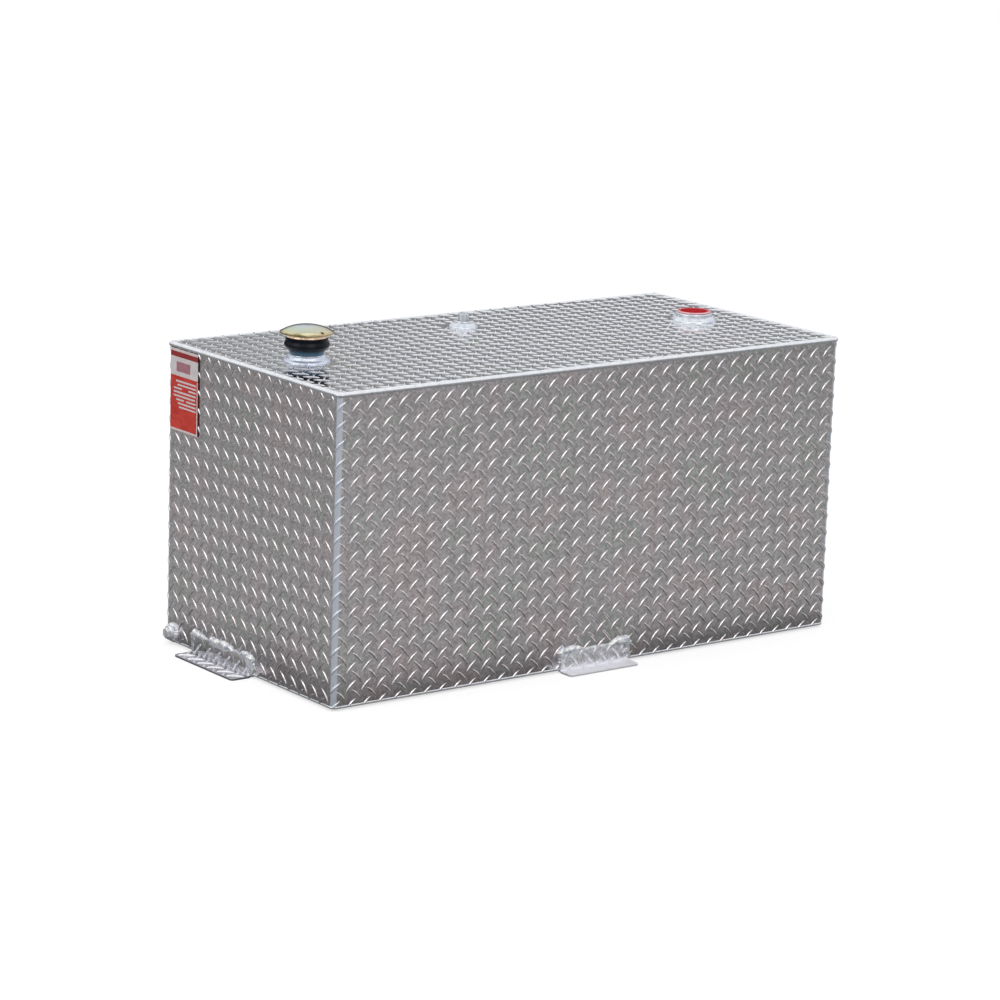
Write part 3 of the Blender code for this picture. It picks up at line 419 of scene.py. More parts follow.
def plug_plastic(name):
    """Red moulded plastic, darker toward the middle of its cup as painted shade, and pinkish white at the
    flange's edge as a painted highlight.
    """
    look = Look(name, 90.0)
    share = look.ranged(look.from_axis("pump_port_plug"), 0.0, half_width("pump_port_plug"))
    # painted shade in the cup, and a painted highlight at the flange's edge
    colour = look.ramp(share, (
        (0.60, srgb(190, 34, 46)), (0.80, srgb(206, 44, 56)), (0.90, srgb(222, 60, 72)),
        (0.94, srgb(250, 196, 204)),
    ))
    colour = look.scaled(colour, look.uneven(0.92, 1.0))
    return look.done(colour, look.uneven(0.24, 0.34), 1800.0, 0.00004)


def plated_cap(name):
    """Yellow zinc plate: greenish and pale toward the middle of the dome, with a painted pale lavender
    reflection at its very middle, gold to pink at its rim, and one side painted warmer as a painted
    reflection.
    """
    look = Look(name, 45.0)
    low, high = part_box("cap_cover")
    reach = half_width("cap_cover")
    wavering = look.ranged(look.cloud, 0.25, 0.75, -0.003, 0.003)
    share = look.ranged(look.calc("ADD", look.from_axis("cap_cover"), wavering), 0.0, reach)
    # the pale lavender first stop is a painted reflection on the dome's top
    colour = look.ramp(share, (
        (0.26, srgb(210, 215, 234)), (0.46, srgb(202, 215, 209)), (0.72, srgb(203, 213, 192)),
        (0.90, srgb(213, 209, 175)), (0.955, srgb(195, 178, 124)), (0.985, srgb(118, 109, 74)),
    ))
    # painted reflection: the side toward that way is painted warmer
    turned = look.vector("DOT_PRODUCT", look.flat, CAP_WARM_REFLECTION_WAY, "Value")
    middle = (low + high).dot(Vector(CAP_WARM_REFLECTION_WAY)) / 2
    warm = look.ranged(turned, middle - 0.2 * reach, middle + reach, 0.0, 0.60)
    colour = look.mixed(warm, colour, srgb(214, 190, 160))
    roll = high.z - COVER_DOME_RISE - COVER_RIM_ROLL
    under = look.ranged(look.height, roll - 0.0010, roll - 0.0004, 1.0, 0.0)
    colour = look.mixed(under, colour, srgb(240, 208, 176))
    gloss = look.ranged(look.noise(look.flat, 80.0), 0.3, 0.7, 0.14, 0.22)
    return look.done(colour, gloss, 300.0, 0.00004, 0.4, 2.0, metallic=1.0)


def make_materials():
    warm = srgb(233, 222, 223)
    plain = srgb(227, 223, 226)
    cool = srgb(220, 224, 221)
    bright = srgb(240, 240, 246)
    blue = srgb(216, 219, 226)
    top_lug_painted_light = srgb(238, 240, 246)
    pale_weld = (srgb(228, 233, 243), srgb(250, 252, 255))
    # painted shade on the top bead's lower side, between these heights
    seam_painted_shade_heights = (top_face() - 0.0036, top_face() - 0.0012)
    return {
        "wall": rolled("tread_wall", (warm, plain, cool), 0.20, (1.0, 1.0, 0.06), bends=True),
        "lugs": rolled("tread_lug", (plain, plain, warm), 0.18, bends=True),
        "top": rolled("tread_top", (plain, blue, cool), 0.08, (0.06, 1.0, 1.0), mottled=(0.80, 1.10)),
        # painted light: the top's lugs are painted paler than the plate they are rolled from
        "top_lugs": rolled("tread_top_lug", (top_lug_painted_light, top_lug_painted_light, top_lug_painted_light), 0.08, mottled=(0.94, 1.04)),
        # painted light and shade in the feet's tones: darker on the end brackets' sheet, paler on their lugs
        # and on the long sides' brackets; the end brackets' lugs are painted paler than their sheet
        "bracket": rolled("tread_bracket", (plain, plain, cool), 0.18, spread=40.0,
                          foot_wear_and_painted_light=(srgb(186, 187, 194), 0.20, 0.95)),
        "bracket_lugs": rolled("tread_bracket_lug", (bright, bright, bright), 0.24, spread=40.0,
                               foot_wear_and_painted_light=(srgb(248, 248, 254), 0.30, 0.75)),
        "bracket_wear_and_painted_light": rolled("tread_bracket_wear_and_painted_light", (bright, bright, bright), 0.40, spread=40.0,
                               foot_wear_and_painted_light=(srgb(246, 246, 252), 0.55, 0.45)),
        "sheet": rolled("plain_sheet", (plain, warm, plain), 0.34, (0.05, 1.0, 1.0)),
        "weld": weld_metal("weld_metal", *pale_weld),
        "blob_weld": weld_metal("blob_weld", srgb(188, 196, 212), srgb(255, 255, 255)),
        "edge_weld": weld_metal("edge_weld", *pale_weld, seam_painted_shade_heights),
        "port_weld": weld_metal("port_weld", srgb(212, 219, 233), srgb(240, 244, 250)),
        "fitting_weld": weld_metal("fitting_weld", srgb(192, 201, 221), srgb(227, 234, 248)),
        "turned": turned_metal("turned_aluminium", srgb(218, 222, 230), srgb(236, 239, 246), 0.26),
        "zinc": plated_cap("yellow_zinc"),
        "steel": turned_metal("bright_steel", srgb(190, 190, 188), srgb(210, 210, 208), 0.28),
        "grey": turned_metal("grey_metal", srgb(202, 206, 212), srgb(222, 226, 232), 0.38),
        "black": neck_plastic("black_neck"),
        "rubber": moulded("seal_rubber", srgb(36, 36, 36), srgb(46, 46, 46), 0.65),
        "red": plug_plastic("red_plastic"),
        "film": printed_film("printed_film"),
        "film_pale": moulded("film_pale_print", srgb(222, 214, 216), srgb(232, 226, 228), 0.35),
        "film_dark": moulded("film_dark_print", srgb(150, 40, 44), srgb(160, 48, 50), 0.35),
        "film_muted": moulded("film_muted_print", srgb(176, 118, 132), srgb(186, 130, 142), 0.35),
    }


# Pieces
def linked(name, data):
    made = bpy.data.objects.new(name, data)
    bpy.context.scene.collection.objects.link(made)
    return made


def finish_node(name, finish):
    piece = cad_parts[name]
    piece.data.materials.clear()
    piece.data.materials.append(finish)


def add_piece(name, mesh, finish, body, replaces=(), smooth=40.0):
    mesh.materials.append(finish)
    if smooth is not None:
        smoothed(mesh, smooth)
    made = linked(name, mesh)
    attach(made, body)
    if replaces:
        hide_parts(*replaces)
    return made


def smoothed(mesh, angle):
    mesh.shade_smooth()
    mesh.set_sharp_from_angle(angle=math.radians(angle))


def mesh_from(shape, name, recalc=True):
    if recalc:
        bmesh.ops.recalc_face_normals(shape, faces=shape.faces)
    mesh = bpy.data.meshes.new(name)
    shape.to_mesh(mesh)
    shape.free()
    return mesh


def placed(mesh, place):
    points = np.zeros(len(mesh.vertices) * 3)
    mesh.vertices.foreach_get("co", points)
    mesh.vertices.foreach_set("co", place(points.reshape(-1, 3)).ravel())
    mesh.update()


def applied(piece):
    """The piece's modifiers, worked into its mesh."""
    graph = bpy.context.evaluated_depsgraph_get()
    mesh = bpy.data.meshes.new_from_object(piece.evaluated_get(graph))
    piece.modifiers.clear()
    old = piece.data
    piece.data = mesh
    bpy.data.meshes.remove(old)


def bisected(shape, spot, way, **clear):
    parts = [*shape.verts, *shape.edges, *shape.faces]
    bmesh.ops.bisect_plane(shape, geom=parts, plane_co=spot, plane_no=way, **clear)


def close_holes(shape):
    bmesh.ops.holes_fill(shape, edges=[e for e in shape.edges if e.is_boundary])


def axis_of(node):
    low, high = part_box(node)
    return (low.x + high.x) / 2, (low.y + high.y) / 2


def half_width(node):
    low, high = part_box(node)
    return (high.x - low.x) / 2


def top_face():
    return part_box("top_plate")[1].z


# Tread
class Lug:
    """One lug's points as (along, across, height) and its faces, with a flat underside."""

    def __init__(self, tall):
        rows = LUG_STEPS - 1
        across = len(LUG_SECTION)
        points = []
        for i in range(rows):
            along = -math.cos(math.pi * (i + 1) / LUG_STEPS)
            width = LUG_WIDTH * (1 - abs(along) ** 3) ** 0.7
            height = (tall + LUG_SINK) * (1 - abs(along) ** 5)
            bow = -LUG_BOW * along ** 2
            for side, rise in LUG_SECTION:
                points.append((LUG_HALF * along, width * side + bow, height * rise - LUG_SINK))
        tips = len(points), len(points) + 1
        points += [(end, -LUG_BOW, -LUG_SINK) for end in (-LUG_HALF, LUG_HALF)]
        last = (rows - 1) * across
        self.faces = []
        for j in range(across - 1):
            self.faces += [(a, a + across, a + across + 1, a + 1) for a in range(j, last, across)]
            self.faces += [(tips[0], j, j + 1), (tips[1], last + j + 1, last + j)]
        right = range(0, rows * across, across)
        left = range(across - 1, rows * across, across)
        self.faces.append((tips[0], *left, tips[1], *reversed(right)))
        self.points = np.array(points)
        self.outline = self.points[[tips[0], *left, tips[1], *right]][:, :2]


def turned_plan(plan, angle):
    c = math.cos(angle)
    s = math.sin(angle)
    return plan[:, :2] @ np.array([[c, s], [-s, c]])


def lug_sheet(centres, keep, low, high, tall=LUG_HEIGHT):
    """Lugs in the flat sheet as a bmesh of (u, v, out), cut off where they leave the corners low to high."""
    lug = Lug(tall)
    crossing = []
    whole = []
    for u, v, lean in centres:
        outline = turned_plan(lug.outline, lean) + (u, v)
        least = outline.min(axis=0)
        most = outline.max(axis=0)
        if (most < low).any() or (least > high).any() or not keep(outline):
            continue
        flat = turned_plan(lug.points, lean) + (u, v)
        group = crossing if (least < low).any() or (most > high).any() else whole
        group.append(np.column_stack([flat, lug.points[:, 2]]))
    made = bmesh.new()
    for group in (crossing, whole):
        if not group:
            continue
        count = len(lug.points)
        faces = [tuple(i + k * count for i in face) for k in range(len(group)) for face in lug.faces]
        mesh = bpy.data.meshes.new("lugs")
        mesh.from_pydata(np.concatenate(group).tolist(), [], faces)
        made.from_mesh(mesh)
        bpy.data.meshes.remove(mesh)
        if group is crossing:
            for spot, way in ((low, (-1, 0)), (low, (0, -1)), (high, (1, 0)), (high, (0, 1))):
                bisected(made, (*spot, 0), (*way, 0), clear_outer=True)
                close_holes(made)
    return made


def lattice(first, step_u, step_v, reach, lean=LUG_ANGLE):
    """Centres of both families of lugs; the second leans the other way, half a step on in both directions."""
    centres = []
    for i in range(*reach[0]):
        for j in range(*reach[1]):
            u = first[0] + i * step_u[0] + j * step_v[0]
            v = first[1] + i * step_u[1] + j * step_v[1]
            centres.append((u, v, lean))
            centres.append((u + (step_u[0] + step_v[0]) / 2, v + (step_u[1] + step_v[1]) / 2, -lean))
    return centres


class Wrap:
    """The bent sheet's outer face: u runs round it from the left end of the front's flat."""

    def __init__(self):
        self.low, self.high = low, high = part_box("wrap_sheet")
        flat_x = high.x - low.x - 2 * BEND_RADIUS
        flat_y = high.y - low.y - 2 * BEND_RADIUS
        self.bend = math.pi / 2 * BEND_RADIUS
        self.flats = (flat_x, flat_y, flat_x, flat_y)
        *self.starts, self.length = (sum(self.flats[:side]) + side * self.bend for side in range(5))

    def place(self, points):
        """(u, z, out) to the row frame, with the plan as complex numbers."""
        u, z, out = points.T
        u = u % self.length
        plan = np.full(len(points), complex(self.low.x + BEND_RADIUS, self.low.y))
        heading = np.zeros(len(points))
        for side, (start, flat) in enumerate(zip(self.starts, self.flats)):
            turn = np.clip((u - start - flat) / BEND_RADIUS, 0.0, math.pi / 2)
            plan += 1j ** side * (np.clip(u - start, 0.0, flat) - 1j * BEND_RADIUS * (np.exp(1j * turn) - 1))
            heading += turn
        plan -= 1j * out * np.exp(1j * heading)
        return np.column_stack([plan.real, plan.imag, z])

    def u_at(self, side, spot):
        past = (spot.x - self.low.x, spot.y - self.low.y, self.high.x - spot.x, self.high.y - spot.y)
        return self.starts[side] + past[side] - BEND_RADIUS

    def behind(self, node):
        """The parts of the sheet behind a node, in each of the turns they may be met in."""
        low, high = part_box(node)
        if high.y - low.y > high.x - low.x or node == "drain_coupling":
            side = LEFT if low.x < 0 else RIGHT
        else:
            side = FRONT if low.y < 0 else BACK
        start, end = sorted((self.u_at(side, low), self.u_at(side, high)))
        bottom, top = low.z - COVER_GAP, high.z + COVER_GAP
        return [(start + turn - COVER_GAP, end + turn + COVER_GAP, bottom, top) for turn in (0, -self.length)]


def inside(outline, box):
    """Which of the outline's points are in the box (low u, high u, low v, high v)."""
    low_u, high_u, low_v, high_v = box
    u, v = outline.T
    return (u > low_u) & (u < high_u) & (v > low_v) & (v < high_v)


def wall_lugs(finish):
    wrap = Wrap()
    hidden = [box for node, *rest in BRACKETS for box in wrap.behind(node)]
    barred = wrap.behind("drain_coupling")
    low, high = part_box("wrap_seam_weld")
    seam = (wrap.u_at(BACK, high) + wrap.u_at(BACK, low)) / 2

    def keep(outline):
        if any(inside(outline, box).any() for box in barred):
            return False
        return not any(inside(outline, box).all() for box in hidden)

    back_steps = int((wrap.length - seam + WALL_PHASE_U) / WALL_PITCH_U) + 2
    steps = int(wrap.length / WALL_PITCH_U) + 3
    rows = int((wrap.high.z - wrap.low.z) / WALL_PITCH_Z) + 3
    lowest = top_face() - WALL_PHASE_TOP - (rows - 3) * WALL_PITCH_Z
    first = (WALL_PHASE_U - back_steps * WALL_PITCH_U, lowest)
    centres = lattice(first, (WALL_PITCH_U, 0.0), (0.0, WALL_PITCH_Z), ((-1, steps), (-1, rows)))
    edges = [start - wrap.bend for start in (*wrap.starts, wrap.length)]    # a side has the bend before it
    corners = (seam - wrap.length + SEAM_CLEAR, wrap.low.z), (seam - SEAM_CLEAR, wrap.high.z)
    # bends: how many the pattern has passed on its way from the front
    for side, name, bends in (
        (FRONT, "front_lugs", 0), (RIGHT, "right_lugs", 1), (BACK, "back_lugs", 2), (LEFT, "left_lugs", -1),
    ):
        start, end = edges[side:side + 2]
        chosen = []
        for u, v, lean in centres:
            u += bends * BEND_TAKES
            here = u % wrap.length
            if not seam - wrap.length - LUG_HALF < u < seam + LUG_HALF:
                continue
            if start <= here < end or start <= here - wrap.length < end:
                chosen.append((u, v, lean))
        mesh = mesh_from(lug_sheet(chosen, keep, *corners), name, recalc=False)
        placed(mesh, wrap.place)
        add_piece(name, mesh, finish, "tank", smooth=LUG_SMOOTH)


def top_lugs(finish):
    low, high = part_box("top_plate")
    rounds = [(*axis_of(node), half_width(node) + FITTING_CLEAR)
              for node in ("filler_collar", "pump_bung", "vent_boss")]

    def keep(outline):
        u, v = outline.T
        return not any((np.hypot(u - x, v - y) < radius).any() for x, y, radius in rounds)

    across = int((high.x - low.x) / TOP_STEP_X[0] / 2) + 3
    deep = int((high.y - low.y) / TOP_STEP_Y[1] / 2) + 5
    centres = lattice(TOP_ORIGIN, TOP_STEP_X, TOP_STEP_Y, ((-across, across), (-deep, deep + 5)))
    shape = lug_sheet(centres, keep, (low.x, low.y), (high.x, high.y), TOP_LUG_HEIGHT)
    bmesh.ops.translate(shape, verts=shape.verts, vec=(0, 0, high.z))
    mesh = mesh_from(shape, "top_lugs", recalc=False)
    add_piece("top_lugs", mesh, finish, "tank", smooth=LUG_SMOOTH)


# Weld beads
def add_bead(name, node, rings, finish, closed=True, place=Matrix()):
    """A skin over rings of points, one ring for each step; the ends are capped unless it closes."""
    count, width = rings.shape[:2]
    faces = []
    for i in range(count if closed else count - 1):
        a = i * width
        b = (i + 1) % count * width
        faces += [(a + j, a + (j + 1) % width, b + (j + 1) % width, b + j) for j in range(width)]
    if not closed:
        faces.append(tuple(range(width - 1, -1, -1)))
        faces.append(tuple(range((count - 1) * width, count * width)))
    raw = bpy.data.meshes.new(name)
    raw.from_pydata(rings.reshape(-1, 3).tolist(), [], faces)
    shape = bmesh.new()
    shape.from_mesh(raw)
    bpy.data.meshes.remove(raw)
    mesh = mesh_from(shape, name)
    mesh.transform(place)
    add_piece(name, mesh, finish, "tank", (node,), BEAD_SMOOTH)


def ripple(along, share):
    """How swollen a bead's ripples leave it, by place along it and share of the way from its middle."""
    phase = (along[:, None] / RIPPLE_PITCH + RIPPLE_LAG * share[None, :] ** 2) % 1.0
    return RIPPLE_DEPTH * (1 - (2 * phase - 1) ** 2)


def rippled(section, along):
    """The section at each place along a bead: (place, point, 2), swollen and drawn in by its ripples."""
    section = np.array(section)
    root = (section[0] + section[-1]) / 2
    share = np.linspace(-1, 1, len(section))
    swell = ripple(along, share) * (1 - share[None, :] ** 6)
    fine = [noise.noise(Vector((s * 38.0, 3.1, 0.0))) * 0.00022 for s in along]
    slow = [noise.noise(Vector((s * 9.0, 8.7, 0.0))) * 0.00018 for s in along]
    wander = np.add(fine, slow)
    arm = section - root
    reach = np.linalg.norm(arm, axis=1)
    grown = swell + wander[:, None] * (1 - share[None, :] ** 2)
    return root + arm[None, :, :] * (1 + grown / np.maximum(reach, 0.0015)[None, :])[:, :, None]


def seam_bead(name, section, level, node, finish):
    """A bead right round the wrapped sheet, at this height."""
    wrap = Wrap()
    steps = int(wrap.length / RIPPLE_STEP)
    along = np.arange(steps) * wrap.length / steps
    shape = rippled(section, along)
    flat = np.zeros((steps, len(section), 3))
    flat[:, :, 0] = along[:, None]
    flat[:, :, 1] = level + shape[:, :, 1]
    flat[:, :, 2] = shape[:, :, 0]
    add_bead(name, node, wrap.place(flat.reshape(-1, 3)).reshape(flat.shape), finish)


def wrap_seam_bead(finish):
    """The butt weld up the back."""
    low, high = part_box("wrap_seam_weld")
    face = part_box("wrap_sheet")[1].y
    half = (high.x - low.x) / 2
    crown = high.y - face
    steps = int((high.z - low.z) / RIPPLE_STEP)
    along = np.linspace(low.z, high.z, steps)
    arc = [math.pi * k / 8 for k in range(9)]
    section = [(half * math.cos(a), crown * math.sin(a) - BEAD_SINK) for a in arc]
    shape = rippled(section, along)
    rings = np.zeros((steps, len(section), 3))
    rings[:, :, 0] = (low.x + high.x) / 2 + shape[:, :, 0]
    rings[:, :, 1] = face + shape[:, :, 1]
    rings[:, :, 2] = along[:, None]
    add_bead("wrap_seam_bead", "wrap_seam_weld", rings, finish, closed=False)


def ring_bead(name, node, inner, finish, place, up, concave, seed, lumpy=1.0):
    """A fillet weld round a fitting, up its side this far; place puts its face at z = 0 and its axis on Z."""
    low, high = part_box(node)
    outer = max(high.x - low.x, high.y - low.y, high.z - low.z) / 2
    size = outer - inner
    steps = int(2 * math.pi * outer / RIPPLE_STEP)
    along = np.arange(steps) * 2 * math.pi * outer / steps
    section = [(inner - BEAD_ROOT, -SEAT), (inner - BEAD_ROOT, up * 0.94)]
    for angle in (math.radians(90 - 15 * k) for k in range(7)):
        sag = 1 - concave * math.sin(2 * angle) ** 2
        section.append((inner + size * math.cos(angle) * sag, up * math.sin(angle) * sag))
    section.append((outer, -SEAT))
    shape = np.repeat(np.array(section)[None, :, :], steps, axis=0)
    swell = 1.6 * ripple(along, np.linspace(-1, 1, len(section) - 3))

    def wander(turn, frequency, level):
        return noise.noise(Vector((frequency * math.cos(turn), frequency * math.sin(turn), level)))

    wavering = np.array([
        0.00055 * wander(s / inner, 4, seed) + 0.0004 * wander(s / inner, 11, seed + 5) for s in along
    ])
    grown = (swell + lumpy * wavering[:, None]) / math.sqrt(2)
    shape[:, 2:-1, :] += grown[:, :, None]
    turn = (along / outer)[:, None]
    rings = np.stack([shape[:, :, 0] * np.cos(turn), shape[:, :, 0] * np.sin(turn), shape[:, :, 1]], axis=2)
    add_bead(name, node, rings, finish, place=place)


# Brackets
class Bracket:
    """One hold-down: u along the wall to the right as seen from outside, v from the foot's tip up the leg."""

    def __init__(self, node, way):
        self.node = node
        low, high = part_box(node)
        wall_low, wall_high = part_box("wrap_sheet")
        self.out = Vector((*way, 0.0))
        self.right = Vector((-way[1], way[0], 0.0))
        middle = (low + high) / 2
        face = max(wall_low.dot(self.out), wall_high.dot(self.out))
        self.reach = max(low.dot(self.out), high.dot(self.out)) - face
        self.half = abs((high - low).dot(self.right)) / 2
        self.top = high.z
        self.gap = self.reach - abs((high - low).dot(self.out))
        self.origin = self.right * middle.dot(self.right) + self.out * face
        self.foot = self.reach - self.gap - SHEET - BRACKET_BEND
        self.turn = math.pi / 2 * BRACKET_BEND
        self.length = self.foot + self.turn + self.top - SHEET - BRACKET_BEND

    def place(self, points):
        """(u, v, out of the tread side) to the row frame."""
        u, v, rise = points.T
        angle = np.clip((v - self.foot) / BRACKET_BEND, 0.0, math.pi / 2)
        radius = BRACKET_BEND - rise
        away = self.gap + SHEET + BRACKET_BEND + np.maximum(self.foot - v, 0.0) - radius * np.sin(angle)
        made = np.outer(u, self.right) + np.outer(away, self.out) + np.array(self.origin)
        leg = np.maximum(v - self.foot - self.turn, 0.0)
        made[:, 2] = SHEET + BRACKET_BEND + leg - radius * np.cos(angle)
        return made


def bracket_sheet(bracket, finish):
    """The bent sheet, its foot's corners rounded and its edges broken."""
    name = bracket.node + "_sheet"
    half = bracket.half
    corner = BRACKET_CORNER
    outline = [(half, bracket.length), (-half, bracket.length)]
    for middle, start in ((corner - half, 180), (half - corner, 270)):
        for k in range(7):
            a = math.radians(start + 15 * k)
            outline.append((middle + corner * math.cos(a), corner + corner * math.sin(a)))
    shape = bmesh.new()
    shape.faces.new([shape.verts.new((u, v, 0.0)) for u, v in outline])
    for k in range(9):
        bisected(shape, (0, bracket.foot + bracket.turn * k / 8 + 1e-6, 0), (0, 1, 0))
    grown = bmesh.ops.extrude_face_region(shape, geom=list(shape.faces))
    moved = [item for item in grown["geom"] if isinstance(item, bmesh.types.BMVert)]
    bmesh.ops.translate(shape, verts=moved, vec=(0, 0, -SHEET))
    mesh = mesh_from(shape, name)
    placed(mesh, bracket.place)
    mesh.shade_smooth()
    made = add_piece(name, mesh, finish, "tank", (bracket.node,), smooth=None)
    edge = made.modifiers.new("Edges", "BEVEL")
    edge.width = BRACKET_EDGE
    edge.segments = 3
    edge.limit_method = "ANGLE"
    edge.angle_limit = math.radians(50)
    applied(made)
    smoothed(made.data, 40)


def bracket_lugs(bracket, finish, phase, foot_tall, leg_tall):
    name = bracket.node + "_lugs"
    reach = [(-1, int(span / BRACKET_PITCH) + 3) for span in (2 * bracket.half, bracket.length)]
    first = (-bracket.half + phase[0], phase[1])
    centres = lattice(first, (BRACKET_PITCH, 0.0), (0.0, BRACKET_PITCH), reach)
    edge = bracket.half - BRACKET_EDGE
    corners = (-edge, BRACKET_EDGE), (edge, bracket.length - BRACKET_EDGE)

    def keep(outline):
        near = outline[:, 1] < BRACKET_CORNER
        return (np.abs(outline[near, 0]) < bracket.half - BRACKET_CORNER / 2).all()

    shape = bmesh.new()
    for on_foot, heights in ((True, foot_tall), (False, leg_tall)):
        for leans_right, tall in zip((True, False), heights):
            chosen = [c for c in centres if (c[1] < bracket.foot) == on_foot and (c[2] > 0) == leans_right]
            part = mesh_from(lug_sheet(chosen, keep, *corners, tall), "part")
            shape.from_mesh(part)
            bpy.data.meshes.remove(part)
    mesh = mesh_from(shape, name)
    placed(mesh, bracket.place)
    add_piece(name, mesh, finish, "tank", smooth=LUG_SMOOTH)


def lump_path(bracket, plan):
    """Places up, over and down the leg's three welded edges, with the bead's reach there."""
    half, top = bracket.half, bracket.top
    side = top - LUMP_FOOT
    over = side + 2 * half
    total = over + side
    shares, *reaches = zip(*plan)
    steps = int(total / LUMP_STEP)
    for k in range(steps + 1):
        s = total * k / steps
        x = np.interp(s, (0.0, side, over, total), (-half, -half, half, half))
        z = np.interp(s, (0.0, side, over, total), (LUMP_FOOT, top, top, LUMP_FOOT))
        way = (-1, 0) if s < side else (0, 1) if s < over else (1, 0)
        yield k, (x, z), way, *(np.interp(s / total, shares, reach) for reach in reaches)


def bracket_bead(bracket, plan, finish, seed):
    """Overlapping weld lumps laid round the leg, melted into one skin."""
    name = bracket.node + "_bead"
    random = np.random.default_rng(seed)
    shape = bmesh.new()
    right = bracket.right
    out = bracket.out
    for k, spot, way, outward, inward, height in lump_path(bracket, plan):
        jitter = random.uniform(-1, 1, 4)
        drift = [noise.noise(Vector((k * LUMP_STEP * 110.0, seed + 7.0 * i, 0.0))) for i in range(4)]
        reach = (outward + inward) / 2 * (1 + 0.05 * jitter[0] + 0.25 * drift[0])
        middle = (outward - inward) / 2
        x = spot[0] + way[0] * middle + LUMP_JITTER * jitter[1] + LUMP_DRIFT * drift[1]
        z = spot[1] + way[1] * middle + LUMP_JITTER * jitter[2] + LUMP_DRIFT * drift[2]
        depth = SHEET * 0.75 + height * (1 + 0.06 * jitter[3] + 0.4 * drift[3])
        across = right * way[0] + Vector((0, 0, way[1]))
        along = right * -way[1] + Vector((0, 0, way[0]))
        lump = Matrix((across * reach, along * LUMP_HALF, out * depth)).transposed().to_4x4()
        lump.translation = bracket.origin + right * x + Vector((0, 0, z))
        bmesh.ops.create_icosphere(shape, subdivisions=2, radius=1.0, matrix=lump)
    mesh = mesh_from(shape, name)
    made = add_piece(name, mesh, finish, "tank", (bracket.node + "_weld",), smooth=None)
    melt = made.modifiers.new("Melt", "REMESH")
    melt.mode = "VOXEL"
    melt.voxel_size = LUMP_VOXEL
    ease = made.modifiers.new("Ease", "SMOOTH")
    ease.factor = 0.5
    ease.iterations = 2
    applied(made)
    shape = bmesh.new()
    shape.from_mesh(made.data)
    bisected(shape, out * (bracket.origin.dot(out) - LUMP_SINK), out, clear_inner=True)
    close_holes(shape)
    for vert in shape.verts:
        rough = noise.noise(vert.co * LUMP_ROUGH[0] + Vector((seed, 0, 0))) * LUMP_ROUGH[1]
        rough += noise.noise(vert.co * LUMP_FINE[0]) * LUMP_FINE[1]
        vert.co += vert.normal * rough
    shape.to_mesh(made.data)
    shape.free()
    made.data.shade_smooth()


def brackets(finishes):
    for node, way, plan, phase, seed, (sheet, lugs, foot_tall, leg_tall) in BRACKETS:
        bracket = Bracket(node, way)
        bracket_sheet(bracket, finishes[sheet])
        bracket_lugs(bracket, finishes[lugs], phase, foot_tall, leg_tall)
        bracket_bead(bracket, plan, finishes["blob_weld"], seed)


# Fittings
def turned_mesh(name, profile, steps=ROUND_STEPS):
    """A closed profile of (radius, z) turned round Z; points on the axis are shared."""
    shape = bmesh.new()
    turns = [2 * math.pi * k / steps for k in range(steps)]
    columns = []
    for r, z in profile:
        if r < 1e-6:
            columns.append([shape.verts.new((0, 0, z))] * steps)
        else:
            columns.append([shape.verts.new((r * math.cos(a), r * math.sin(a), z)) for a in turns])
    for here, there in zip(columns, columns[1:] + columns[:1]):
        for k in range(steps):
            j = (k + 1) % steps
            corners = list(dict.fromkeys((here[k], here[j], there[j], there[k])))
            if len(corners) > 2:
                shape.faces.new(corners)
    return mesh_from(shape, name)


def rounded(profile, radius, steps=4):
    """The profile with its corners rounded: a third value is a corner's share of the radius."""
    made = []
    count = len(profile)
    for i, point in enumerate(profile):
        here = Vector(point[:2])
        if len(point) < 3:
            made.append(tuple(here))
            continue
        before = Vector(profile[i - 1][:2]) - here
        after = Vector(profile[(i + 1) % count][:2]) - here
        reach = min(radius * point[2], before.length * 0.48, after.length * 0.48)
        a = here + before.normalized() * reach
        b = here + after.normalized() * reach
        for t in (k / steps for k in range(steps + 1)):
            made.append(tuple(a * (1 - t) ** 2 + here * 2 * t * (1 - t) + b * t ** 2))
    return made


def add_turned(name, profile, finish, body, node, place, steps=ROUND_STEPS):
    mesh = turned_mesh(name, profile, steps)
    mesh.transform(place)
    return add_piece(name, mesh, finish, body, (node,), smooth=35)


def fitting(node, sizes, bead_name, bead, finish, sunk=0.0, steps=ROUND_STEPS):
    """A turned ring that stands on the top plate, with a spigot down through its hole and a bead round it."""
    bore, spigot, drop, corner, inner_share = sizes
    radius = half_width(node)
    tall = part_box(node)[1].z - top_face() - sunk
    profile = rounded([
        (bore, -drop), (spigot, -drop), (spigot, SEAT), (radius, SEAT), (radius, tall, 1),
        (bore, tall, inner_share),
    ], corner)
    place = Matrix.Translation((*axis_of(node), top_face()))
    add_turned(node + "_ring", profile, finish, "tank", node, place, steps)
    look, *shape = bead
    ring_bead(bead_name, node + "_weld", radius, look, place, *shape)


